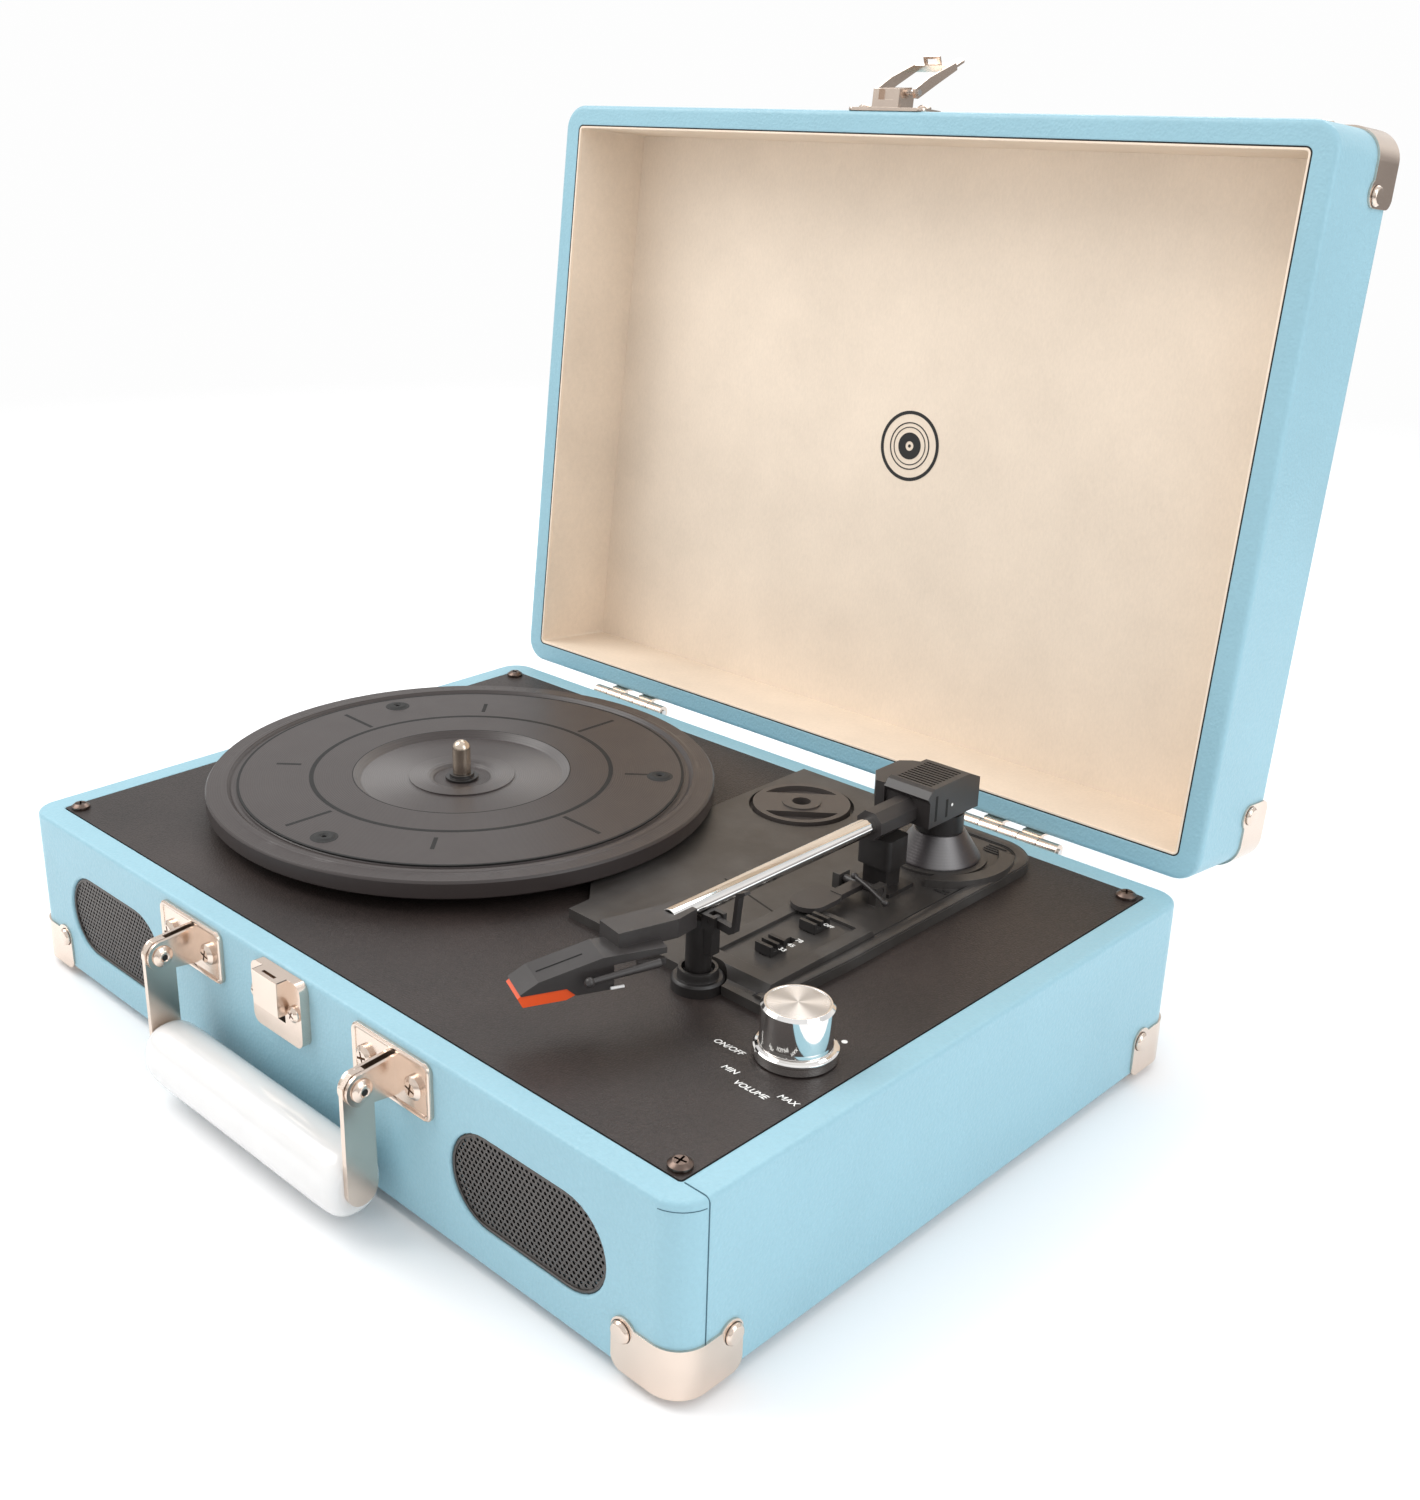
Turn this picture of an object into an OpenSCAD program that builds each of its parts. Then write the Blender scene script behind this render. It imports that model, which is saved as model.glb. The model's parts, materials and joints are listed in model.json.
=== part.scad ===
// Portable suitcase record player: a wrapped wooden case with an opening lid, a belt-driven platter,
// a pivoting tonearm with a cue lift, a swinging carry handle and a hasp latch.
// Origin: centre of the case's underside. +X right, +Y towards the hinges, +Z up. Millimetres.

/* [Case] */
// Width of the case, side to side
case_w = 355; // [352:1:362]
// Depth of the case, front to back
case_d = 258.6; // [257:0.2:262]
// Height of the base, without its feet
base_h = 62; // [61:0.5:64]
// Thickness of the base walls
wall = 10; // [9:0.5:10.5]
// Radius of the upright corners
corner_r = 10; // [8:1:14]
// Height of the rubber feet
foot_h = 4; // [3:0.5:6]

/* [Lid] */
// Depth of the lid
lid_h = 45.5; // [45:0.5:48]
// Thickness of the lid walls
lid_wall = 8.6; // [8:0.2:8.8]
// Thickness of the lid lining
lining_t = 1; // [0.8:0.1:1.2]
// Opening angle at rest, from closed
lid_open = 96.3; // [90:0.1:100]

/* [Platter] */
// Radius of the platter
platter_r = 100.5; // [98:0.5:101]
// Height of the platter's top face above the case's underside
platter_top = 75; // [74.5:0.5:76]
// Radius of the spindle
spindle_r = 3.6; // [3.5:0.05:3.6]
// Radius of the belt drum under the platter
drum_r = 73; // [70:1:74]
// Radius of the motor pulley
pulley_r = 6; // [5:0.5:7]

/* [Tonearm] */
// Distance of the tonearm pivot to the right of the case's middle
arm_x = 101; // [100:0.5:102]
// Distance of the tonearm pivot behind the case's middle
arm_y = 88; // [87.5:0.5:88.5]
// Height of the tonearm's centre line
arm_z = 91; // [90.5:0.25:91.5]
// Radius of the tonearm tube
tube_r = 3.2; // [3:0.1:3.4]

/* [Handle] */
// Distance from the middle to each handle bracket
bracket_x = 57; // [55:1:60]
// Height of the handle pivots
handle_z = 49.5; // [48:0.5:50]
// Distance of the handle pivots in front of the case
handle_reach = 14; // [13.5:0.5:16]

/* [Hidden] */

$fn = 64;
eps = 0.01;
run = 0.05;                       // radial running clearance
half_w = case_w / 2;
half_d = case_d / 2;
in_w = case_w - 2 * wall;
in_d = case_d - 2 * wall;
deck_t = 4;
front_y = -half_d;
back_y = half_d;

// hinges
hinge_y = half_d + 4;
hinge_z = base_h - 2;
hinge_x = 103;
hinge_len = 43;
knuckle_r = 3;
pin_r = 1.25;
segment = hinge_len / 5;
lid_gap = 0.3;
lid_z0 = base_h + lid_gap;
lid_top = lid_z0 + lid_h;

// loudspeakers
speaker_x = 116;
speaker_z = 29;
speaker_w = 66.6;
speaker_h = 32.5;
grille_y = 1.4;

// platter and drive
platter_x = -66;
platter_y = 1;
hub_z = platter_top - 4;
groove_r = 3.2;
spindle_end = 10.1;
motor_gap = 86;
motor_dir = 135;
motor_x = platter_x + motor_gap * cos(motor_dir);
motor_y = platter_y + motor_gap * sin(motor_dir);
belt_t = 0.8;
belt_z = 64.6;
belt_h = 3.6;
button_r = 79;
button_at = [41, 161, 281];
groove_at = [42, 88, 132, 178, 222, 268, 312, 358];

// plinth
plinth_h = 3.5;
plinth_z = base_h + plinth_h;
adapter_x = 37;
adapter_y = 88;
adapter_r = 19;
switch_x = 108;
speed_y = -14;
autostop_y = 8.4;
block_z = plinth_z + 3;
recess_z = block_z - 1.2;

// controls
knob_x = 149;
knob_y = -50.3;
knob_top = base_h + 18.3;

// headshell
shell_dir = 24;
shell_y = -63.4;

// tonearm rest
rest_y = -41;
clip_x = arm_x + 7;
clip_z = arm_z - 3;
clip_open = 96;

// cue lift
cue_r = 34;
cue_top = arm_z - 5.5;
cue_drop = 5;
lever_y = 41.5;
lever_z = base_h + 8;

// handle
pivot_y = front_y - handle_reach;
arm_t = 2;
ear_t = 1.2;
ear_gap = 2.4;
grip_y = pivot_y - 0.9;
grip_z = 13.5;

// latch
latch_x = -1;
latch_y = front_y - 7.4;
latch_z = lid_z0 + 8.4;
hasp_rest = 28;
hasp_w = 19.6;
keeper_t = 3.5;
box_z0 = 48.5;
box_z1 = 61;

// rear sockets
socket_x = 40;
socket_z = 30;

// corner guards
guard_t = 0.8;
guard_reach = 25;
guard_h = 15.5;
guard_lobe_at = 19;
rivet_z = 12.8;

blue = [0.62, 0.79, 0.87];
cream = [0.93, 0.87, 0.76];
black = [0.13, 0.12, 0.12];
nickel = [0.84, 0.78, 0.74];
steel = [0.72, 0.72, 0.74];

// ---------- shared shapes ----------

// a rectangle centred on the origin with round corners
module round_rect(w, d, r) {
    square([w - 2 * r, d], center = true);
    square([w, d - 2 * r], center = true);
    for (x = [-1, 1], y = [-1, 1])
        translate([x * (w / 2 - r), y * (d / 2 - r)])
            circle(r);
}

// a slot with round ends, lying along X
module stadium(w, h) {
    square([w - h, h], center = true);
    for (x = [-1, 1])
        translate([x * (w - h) / 2, 0])
            circle(h / 2);
}

// extrudes a profile drawn in Y and Z along X, centred on x
module along_x(x, length) {
    translate([x - length / 2, 0, 0])
        rotate([90, 0, 90])
            linear_extrude(length)
                children();
}

// extrudes a profile drawn in X and Z along Y, from y towards +Y
module along_y(y, length) {
    translate([0, y + length, 0])
        rotate([90, 0, 0])
            linear_extrude(length)
                children();
}

// a cylinder whose axis lies along X
module rod_x(r, length) {
    rotate([0, 90, 0])
        cylinder(r = r, h = length, center = true);
}

// a pan-head screw pointing down -Z, its head's underside at z = 0
module pan_screw(head_r, shank_r, length) {
    difference() {
        union() {
            cylinder(r = head_r, h = head_r * 0.3);
            translate([0, 0, head_r * 0.3])
                cylinder(r1 = head_r, r2 = head_r * 0.62, h = head_r * 0.28);
            translate([0, 0, -length])
                cylinder(r = shank_r, h = length + eps);
        }
        for (a = [0, 90])
            rotate([0, 0, a])
                translate([-head_r * 0.55, -head_r * 0.1, head_r * 0.2])
                    cube([head_r * 1.1, head_r * 0.2, head_r]);
    }
}

// a domed rivet head standing on z = 0
module rivet_head(r) {
    cylinder(r = r, h = r * 0.16);
    translate([0, 0, r * 0.16])
        cylinder(r1 = r, r2 = r * 0.55, h = r * 0.28);
}

// holds lid parts, drawn in the closed position, at the resting angle
module opened() {
    translate([0, hinge_y, hinge_z])
        rotate([-lid_open, 0, 0])
            translate([0, -hinge_y, -hinge_z])
                children();
}

// ---------- base ----------

// four walls of the base, cut for the loudspeakers and the rear sockets
module base_case() {
    color(blue)
        difference() {
            linear_extrude(base_h)
                round_rect(case_w, case_d, corner_r);
            translate([0, 0, -1])
                linear_extrude(base_h + 2)
                    round_rect(in_w, in_d, 1);
            for (x = [-speaker_x, speaker_x])
                translate([x, 0, speaker_z]) {
                    along_y(front_y - 1, 1 + grille_y + 1)
                        stadium(speaker_w, speaker_h);
                    along_y(front_y, wall + 2)
                        stadium(speaker_w - 5, speaker_h - 5);
                }
            translate([socket_x - 32, back_y - wall - 1, socket_z - 12])
                cube([64, wall + 2, 24]);
        }
}

module bottom_panel() {
    color([0.5, 0.4, 0.3])
        linear_extrude(5)
            round_rect(in_w - 0.4, in_d - 0.4, 1);
}

module rubber_feet() {
    color(black)
        for (x = [-135, 135], y = [-92, 92])
            translate([x, y, -foot_h]) {
                cylinder(r = 8.5, h = 1);
                translate([0, 0, 1])
                    cylinder(r1 = 8.5, r2 = 10, h = foot_h - 1);
            }
}

// softwood blocks that the deck is screwed down to
module corner_blocks() {
    color([0.8, 0.66, 0.45])
        for (x = [-1, 1], y = [-1, 1])
            translate([x * (in_w / 2 - 8), y * (in_d / 2 - 8), 5.1])
                difference() {
                    translate([-7.5, -7.5, 0])
                        cube([15, 15, base_h - deck_t - 5.2]);
                    translate([x * 3.3, y * 3.3, 30])
                        cylinder(r = 1.4, h = 30);
                }
}

module deck_panel() {
    color(black)
        difference() {
            translate([0, 0, base_h - deck_t])
                linear_extrude(deck_t)
                    round_rect(in_w - 0.4, in_d - 0.4, 1);
            translate([platter_x, platter_y, base_h - deck_t - 1])
                cylinder(r = 6.1, h = deck_t + 2);
            translate([motor_x, motor_y, base_h - deck_t - 1])
                cylinder(r = 8, h = deck_t + 2);
            translate([knob_x, knob_y, base_h - deck_t - 1])
                cylinder(r = 3.6, h = deck_t + 2);
            translate([switch_x - 6, speed_y - 12, base_h - deck_t - 1])
                cube([12, autostop_y - speed_y + 22, deck_t + 2]);
            for (x = [-1, 1], y = [-1, 1])
                translate([x * (in_w / 2 - 4.7), y * (in_d / 2 - 4.7), base_h - deck_t - 1])
                    cylinder(r = 1.9, h = deck_t + 2);
        }
}

module deck_screws() {
    color(black)
        for (x = [-1, 1], y = [-1, 1])
            translate([x * (in_w / 2 - 4.7), y * (in_d / 2 - 4.7), base_h])
                rotate([0, 0, 20 * x + 9 * y])
                    pan_screw(3.6, 1.3, 12);
}

// outline of a guard's side lobe: distance from the corner across, height up
module guard_lobe() {
    square([guard_lobe_at, guard_h + guard_t]);
    translate([0, 4])
        square([guard_reach, rivet_z + guard_t - 4]);
    translate([guard_reach - 4, 4])
        circle(4);
    square([guard_reach - 4, 4.1]);
    translate([guard_reach - 4.8, rivet_z + guard_t])
        circle(4.8);
}

// a stamped steel guard wrapped round the bottom of the corner at +X, -Y
module corner_guard() {
    intersection() {
        difference() {
            translate([0, 0, -guard_t])
                linear_extrude(guard_h + 10)
                    round_rect(case_w + 2 * guard_t, case_d + 2 * guard_t, corner_r + guard_t);
            linear_extrude(guard_h + 12)
                round_rect(case_w, case_d, corner_r);
        }
        union() {
            translate([half_w, 0, -guard_t])
                mirror([1, 0, 0])
                    along_y(front_y - 2, 3)
                        guard_lobe();
            translate([0, front_y, -guard_t])
                along_x(half_w, 3)
                    guard_lobe();
            translate([half_w - corner_r - 2, front_y - 2, -guard_t])
                cube([corner_r + 4, corner_r + 4, guard_h + guard_t]);
            translate([half_w - 22, front_y - 2, -guard_t])
                cube([24, 24, guard_t + eps]);
        }
    }
}

// the same guard at all four corners
module four_corners() {
    for (x = [0, 1], y = [0, 1])
        mirror([x, 0, 0])
            mirror([0, y, 0])
                children();
}

module guard_rivets() {
    translate([half_w - 21, front_y - guard_t, rivet_z])
        rotate([90, 0, 0])
            rivet_head(3.6);
    translate([half_w + guard_t, front_y + 21, rivet_z])
        rotate([0, 90, 0])
            rivet_head(3.6);
}

module base_corner_guards() {
    color(nickel)
        four_corners()
            corner_guard();
}

module base_guard_rivets() {
    color(nickel)
        four_corners()
            guard_rivets();
}

// ---------- loudspeakers ----------

module speaker_grilles() {
    color(black)
        for (x = [-speaker_x, speaker_x])
            translate([x, 0, speaker_z])
                along_y(front_y + grille_y, 1)
                    stadium(speaker_w - 0.4, speaker_h - 0.4);
}

// an oval frame, a cone and a magnet, behind each opening
module speaker_drivers() {
    color([0.25, 0.25, 0.25])
        for (x = [-speaker_x, speaker_x])
            translate([x, front_y + wall, speaker_z]) {
                difference() {
                    along_y(0, 2)
                        stadium(71, 42);
                    along_y(-1, 4)
                        stadium(54, 26);
                }
                rotate([-90, 0, 0]) {
                    translate([0, 0, 1.9])
                        difference() {
                            cylinder(r1 = 20.5, r2 = 13, h = 13);
                            translate([0, 0, -0.1])
                                cylinder(r1 = 19.3, r2 = 6, h = 11);
                        }
                    translate([0, 0, 14.8])
                        cylinder(r = 17, h = 10);
                }
            }
}

// ---------- handle ----------

// side view of a bracket ear: from the plate out to a round end at the pivot
module ear_profile() {
    difference() {
        union() {
            polygon([[front_y, handle_z + 6.5], [pivot_y - 0.5, handle_z + 5.4],
                [pivot_y, handle_z - 5.5], [front_y, handle_z - 7.5]]);
            translate([pivot_y, handle_z])
                circle(5.5);
        }
        translate([pivot_y, handle_z])
            circle(2.2 + run);
    }
}

module handle_bracket(x) {
    difference() {
        translate([x, 0, handle_z])
            along_y(front_y - 1.2, 1.2)
                round_rect(38.5, 20, 3);
        for (s = [-12, 12])
            translate([x + s, front_y - 2, handle_z])
                rotate([-90, 0, 0])
                    cylinder(r = 2.1, h = 3);
    }
    for (s = [-1, 1])
        along_x(x + s * (ear_gap + ear_t) / 2, ear_t)
            ear_profile();
}

module handle_brackets() {
    color(nickel) {
        handle_bracket(-bracket_x);
        handle_bracket(bracket_x);
    }
}

module bracket_screws() {
    color(nickel)
        for (x = [-bracket_x, bracket_x], s = [-12, 12])
            translate([x + s, front_y - 1.2, handle_z])
                rotate([90, 15 * s / 12, 0])
                    pan_screw(4, 1.8, 9);
}

module handle_rivets() {
    color(nickel)
        for (x = [-bracket_x, bracket_x])
            translate([x, pivot_y, handle_z]) {
                rod_x(2.2, ear_gap + 2 * ear_t + 0.2);
                for (s = [0, 180])
                    rotate([0, 90, s])
                        translate([0, 0, ear_gap / 2 + ear_t + run])
                            rivet_head(3.8);
            }
}

// side view of a handle arm: a flat strip with a chamfered head round the pivot
module arm_profile() {
    difference() {
        union() {
            polygon([[pivot_y - 6, grip_z], [pivot_y - 6, handle_z + 2], [pivot_y - 2.5, handle_z + 5.6],
                [pivot_y + 2.5, handle_z + 5.6], [pivot_y + 5.5, handle_z + 2.5], [pivot_y + 5.5, grip_z]]);
            translate([pivot_y - 0.25, grip_z])
                circle(5.75);
        }
        translate([pivot_y, handle_z])
            circle(2.2 + run);
    }
}

module handle_arms() {
    color(nickel)
        for (x = [-bracket_x, bracket_x])
            along_x(x, arm_t)
                arm_profile();
}

module handle_grip() {
    grip_w = 2 * (bracket_x - arm_t / 2) - 0.1;
    color([0.95, 0.94, 0.92])
        translate([0, grip_y, grip_z])
            intersection() {
                along_x(0, grip_w)
                    round_rect(21, 23, 10);
                rotate([0, 90, 0])
                    rotate_extrude()
                        polygon([[0, -grip_w / 2], [9.5, -grip_w / 2], [11.6, -grip_w / 2 + 5],
                            [12.4, -grip_w / 2 + 16], [12.4, grip_w / 2 - 16], [11.6, grip_w / 2 - 5],
                            [9.5, grip_w / 2], [0, grip_w / 2]]);
            }
}

// ---------- latch ----------

module latch_keeper() {
    color(nickel)
        difference() {
            union() {
                translate([latch_x, 0, 49.2])
                    along_y(front_y - keeper_t, keeper_t)
                        round_rect(28, 23.6, 3.5);
                translate([latch_x - 7, front_y - keeper_t - 4.2, box_z0])
                    cube([14, 4.2 + eps, box_z1 - box_z0]);
            }
            translate([latch_x - 3.5, front_y - keeper_t - 2.6, box_z1 - 3])
                cube([7, 1.2, 4]);
            translate([latch_x - 4.8, front_y - keeper_t - 3.2, 44])
                cube([9.6, 6.2, 7]);
            for (s = [-10.5, 10.5])
                translate([latch_x + s, front_y - keeper_t - 1, 50])
                    rotate([-90, 0, 0])
                        cylinder(r = 1.7, h = keeper_t + 2);
        }
}

module keeper_screws() {
    color(nickel)
        for (s = [-10.5, 10.5])
            translate([latch_x + s, front_y - keeper_t, 50])
                rotate([90, 25, 0])
                    pan_screw(2.9, 1.4, 10);
}

module latch_base() {
    color(nickel)
        opened()
            difference() {
                union() {
                    translate([latch_x, 0, lid_z0 + 7.4])
                        along_y(front_y - 1.2, 1.2)
                            round_rect(36, 13.6, 2.5);
                    translate([latch_x - 6.2, front_y - 8, lid_z0 + 1])
                        cube([12.4, 8 - 1.2 + eps, 5.6]);
                    along_x(latch_x, 12.4)
                        polygon([[front_y - 1.2, lid_z0 + 1], [front_y - 8, lid_z0 + 1],
                            [front_y - 9.2, latch_z], [front_y - 6, latch_z + 2.2],
                            [front_y - 1.2, latch_z + 2.2]]);
                }
                translate([latch_x - 3.5, front_y - 9, lid_z0])
                    cube([7, 5, 3]);
                translate([latch_x, latch_y, latch_z])
                    rod_x(1.2 + run, 40);
                for (s = [-14, 14])
                    translate([latch_x + s, front_y - 2, lid_z0 + 7.4])
                        rotate([-90, 0, 0])
                            cylinder(r = 1.5, h = 3);
            }
}

module latch_screws() {
    color(nickel)
        opened()
            for (s = [-14, 14])
                translate([latch_x + s, front_y - 1.2, lid_z0 + 7.4])
                    rotate([90, 12, 0])
                        pan_screw(2.6, 1.2, 7);
}

module latch_pin() {
    color(steel)
        opened()
            translate([latch_x, latch_y, latch_z])
                rod_x(1.2, hasp_w + 0.8);
}

// a stamped frame with flanged sides, a hooking loop and a thumb tab, drawn upwards from its pivot
module hasp_shape() {
    difference() {
        for (s = [-1, 1])
            along_x(s * (hasp_w / 2 - 0.7), 1.4)
                polygon([[-2, -1.6], [-0.8, -2.2], [1.2, -2.2], [2, -1.2], [1.6, 12], [1.4, 25.5],
                    [-1.4, 25.5], [-2.6, 8]]);
        rod_x(1.2 + run, hasp_w + 2);
    }
    translate([-hasp_w / 2, -1.4, 22.9])
        cube([hasp_w, 2.6, 2.6]);
    translate([0, 0, 23.4])
        difference() {
            translate([-3.8, -4.6, 0])
                cube([7.6, 3.4, 1]);
            translate([-2.6, -3.7, -1])
                cube([5.2, 2, 3]);
        }
    translate([hasp_w / 2 - 5.4, 0, 0]) {
        translate([0, -0.5, 25.4])
            cube([5.4, 1, 4.4]);
        translate([2.7, 0.5, 29.8])
            rotate([90, 0, 0])
                cylinder(r = 2.7, h = 1);
    }
}

module latch_hasp() {
    color(nickel)
        opened()
            translate([latch_x, latch_y, latch_z])
                rotate([hasp_rest, 0, 0])
                    hasp_shape();
}

// ---------- hinges ----------

// the knuckles of one leaf: 0 makes the base's three, which reach down, 1 the lid's two, which reach up
module knuckles(which) {
    length = segment - 0.3;
    for (i = [which:2:4])
        translate([-hinge_len / 2 + segment * (i + 0.5), 0, 0])
            difference() {
                union() {
                    rod_x(knuckle_r, length);
                    translate([-length / 2, -knuckle_r - 1, which == 1 ? 1 : -3])
                        cube([length, 2.2, 2]);
                    translate([-length / 2, -knuckle_r - 1, which == 1 ? 1 : -8])
                        cube([length, 1, 7]);
                }
                rod_x(pin_r + run, segment);
            }
}

module hinge_base_leaves() {
    color(nickel)
        for (x = [-hinge_x, hinge_x])
            translate([x, hinge_y, hinge_z]) {
                knuckles(0);
                difference() {
                    translate([0, 0, -10.5])
                        along_y(-knuckle_r - 1, 1)
                            round_rect(hinge_len, 14, 2);
                    hinge_holes(-12.5);
                }
            }
}

module hinge_lid_leaves() {
    color(nickel)
        opened()
            for (x = [-hinge_x, hinge_x])
                translate([x, hinge_y, hinge_z]) {
                    knuckles(1);
                    difference() {
                        translate([0, 0, 13])
                            along_y(-knuckle_r - 1, 1)
                                round_rect(hinge_len, 13, 2);
                        hinge_holes(14);
                    }
                }
}

// screw holes through a leaf, at height z from the pin
module hinge_holes(z) {
    for (s = [-14, 0, 14])
        translate([s, -knuckle_r - 2, z])
            rotate([-90, 0, 0])
                cylinder(r = 1.5, h = 3);
}

module leaf_screws(z) {
    for (x = [-hinge_x, hinge_x], s = [-14, 0, 14])
        translate([x + s, hinge_y - knuckle_r, hinge_z + z])
            rotate([-90, 12, 0])
                pan_screw(2.6, 1.2, 7);
}

module hinge_base_screws() {
    color(nickel)
        leaf_screws(-12.5);
}

module hinge_lid_screws() {
    color(nickel)
        opened()
            leaf_screws(14);
}

module hinge_pins() {
    color(steel)
        for (x = [-hinge_x, hinge_x])
            translate([x, hinge_y, hinge_z])
                rod_x(pin_r, hinge_len + 1);
}

// ---------- lid ----------

module lid_shell() {
    color(blue)
        opened()
            translate([0, 0, lid_z0])
                difference() {
                    linear_extrude(lid_h)
                        round_rect(case_w, case_d, corner_r);
                    translate([0, 0, -1])
                        linear_extrude(lid_h - 2)
                            round_rect(case_w - 2 * lid_wall, case_d - 2 * lid_wall, 2);
                }
}

module lid_lining() {
    w = case_w - 2 * lid_wall - 0.1;
    d = case_d - 2 * lid_wall - 0.1;
    color(cream)
        opened()
            translate([0, 0, lid_z0])
                difference() {
                    translate([0, 0, 0.4])
                        linear_extrude(lid_h - 3.5)
                            round_rect(w, d, 2);
                    linear_extrude(lid_h - 3.1 - lining_t)
                        round_rect(w - 2 * lining_t, d - 2 * lining_t, 1.2);
                }
}

// puts a base corner fitting at the matching upper corner of the lid
module at_lid_top() {
    opened()
        translate([0, 0, lid_top])
            mirror([0, 0, 1])
                four_corners()
                    children();
}

module lid_corner_guards() {
    color(nickel)
        at_lid_top()
            corner_guard();
}

module lid_guard_rivets() {
    color(nickel)
        at_lid_top()
            guard_rivets();
}

// ---------- deck fittings ----------

// plan outline of the moulded plinth beside the platter
module plinth_outline() {
    polygon([[38.5, -38.6], [126.5, -40.5], [128.5, 0], [128.5, 101], [112, 117.5],
        [14, 117.5], [14, 30], [30, -20], [38.3, -28.6]]);
    translate([112, 101])
        circle(16.5);
}

module plinth() {
    color(black)
        difference() {
            union() {
                translate([0, 0, base_h])
                    linear_extrude(plinth_h)
                        plinth_outline();
                along_x(switch_x, 32)
                    polygon([[-37, base_h + 2], [-32.5, block_z], [19, block_z], [21, base_h + 2]]);
                translate([arm_x, arm_y, plinth_z - eps])
                    cylinder(r = 18, h = 1);
                arc_ridge();
                for (s = [-1, 1])
                    translate([arm_x + s * 8 - 1.5, lever_y - 3, plinth_z - eps])
                        cube([3, 6, lever_z - plinth_z + 2.2]);
            }
            translate([switch_x - 11, -27, recess_z])
                cube([22, 43.8, 4]);
            translate([switch_x - 1.6, speed_y - 4, base_h - 1])
                cube([3.2, 16, 12]);
            translate([switch_x - 1.6, autostop_y - 4, base_h - 1])
                cube([3.2, 10, 12]);
            translate([adapter_x, adapter_y, base_h + 1])
                cylinder(r = adapter_r + 1.5, h = 6);
            translate([arm_x, lever_y, lever_z])
                rod_x(1.5 + run, 30);
            translate([arm_x, arm_y, base_h + 1])
                cylinder(r = 9, h = 8);
            translate([arm_x, rest_y, base_h - 1])
                cylinder(r = 9.2, h = 10);
        }
}

// low curved ridge round the front and right of the tonearm base
module arc_ridge() {
    translate([arm_x, arm_y, plinth_z])
        intersection() {
            difference() {
                cylinder(r = 27.4, h = 3);
                translate([0, 0, -1])
                    cylinder(r = 22, h = 6);
            }
            translate([12, -25, -1])
                cube([30, 40, 8]);
        }
}

module tonearm_base() {
    translate([arm_x, arm_y, 0])
        color(black)
            rotate_extrude()
                polygon([[3 + run, base_h + 1.1], [8.8, base_h + 1.1], [8.8, plinth_z + 1],
                    [15.5, plinth_z + 1], [15.5, plinth_z + 1.6], [9.2, arm_z - 14],
                    [3 + run, arm_z - 14]]);
}

module arm_rest_post() {
    post_top = arm_z - tube_r - 0.4;
    color(black)
        difference() {
            union() {
                translate([arm_x, rest_y, base_h])
                    rotate_extrude()
                        polygon([[0, 0], [8.7, 0], [8.7, 3.4], [8, 4.2], [6.8, 4.2], [6.4, 7.2], [5.4, 7.2],
                            [5.2, 5], [0, 5]]);
                translate([arm_x, rest_y, base_h + 4])
                    cylinder(r = 4.2, h = post_top - base_h - 4);
                for (s = [-3, 1.4])
                    translate([arm_x + 3.6, rest_y + s, clip_z - 3])
                        cube([5.1, 1.6, 5.2]);
                translate([arm_x + 3.6, rest_y - 3, clip_z - 3])
                    cube([1.2, 6, 5.2]);
                translate([arm_x + 3.4, rest_y - 2, clip_z - 12])
                    cube([3.6, 4, 9.1]);
            }
            translate([clip_x, rest_y, clip_z])
                rotate([90, 0, 0])
                    cylinder(r = 0.9 + run, h = 12, center = true);
        }
}

// the swinging clip, drawn closed over the tube and turned open about its pin
module arm_rest_clip() {
    color(black)
        translate([clip_x, rest_y, clip_z])
            rotate([0, clip_open, 0]) {
                rotate([90, 0, 0])
                    cylinder(r = 0.9, h = 5.8, center = true);
                along_y(-1.2, 2.4) {
                    circle(1.8);
                    polygon([[-1.2, 0], [1.6, 0], [1.6, 6.6], [0, 8.6], [-12.4, 8.6], [-14.6, 11],
                        [-15.4, 10.4], [-13.4, 7.2], [-1.6, 7.2], [-1.2, 6.6]]);
                }
            }
}

// ---------- platter and drive ----------

module platter() {
    t = platter_top;
    color(black)
        translate([platter_x, platter_y, 0])
            difference() {
                rotate_extrude($fn = 128)
                    polygon([[spindle_r + run, t - 11], [9, t - 11], [9, t - 6.6], [drum_r - 3, t - 5.6],
                        [drum_r - 3, belt_z - 0.8], [drum_r, belt_z - 0.8], [drum_r, t - 4.4],
                        [platter_r - 3.4, t - 4.4], [platter_r - 3.4, t - 7.6], [platter_r - 0.4, t - 7.6],
                        [platter_r, t - 7.1], [platter_r, t - 1.7], [platter_r - 0.7, t - 0.8],
                        [platter_r - 5.5, t - 0.7], [platter_r - 7, t - 0.1], [platter_r - 8.5, t - 0.1],
                        [platter_r - 10, t - 1.4], [platter_r - 12, t - 1.4], [platter_r - 13, t - 0.4],
                        [60, t - 0.4], [60, t - 1.2], [58.8, t - 1.2], [58.8, t - 0.4], [43, t - 0.4],
                        [40, t - 2.9], [21, t - 3.1], [21, t - 2.5], [14, t - 2.3], [11, t - 4],
                        [spindle_r + run, t - 4]]);
                for (i = [0:7])
                    rotate([0, 0, groove_at[i]])
                        translate([62 + (1 - i % 2) * 3, -0.5, t - 1.2])
                            cube([10 + (i % 2) * 10, 1, 2]);
                for (a = button_at)
                    rotate([0, 0, a])
                        translate([button_r, 0, t - 1.6])
                            cylinder(r = 3.6, h = 2);
            }
}

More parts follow.
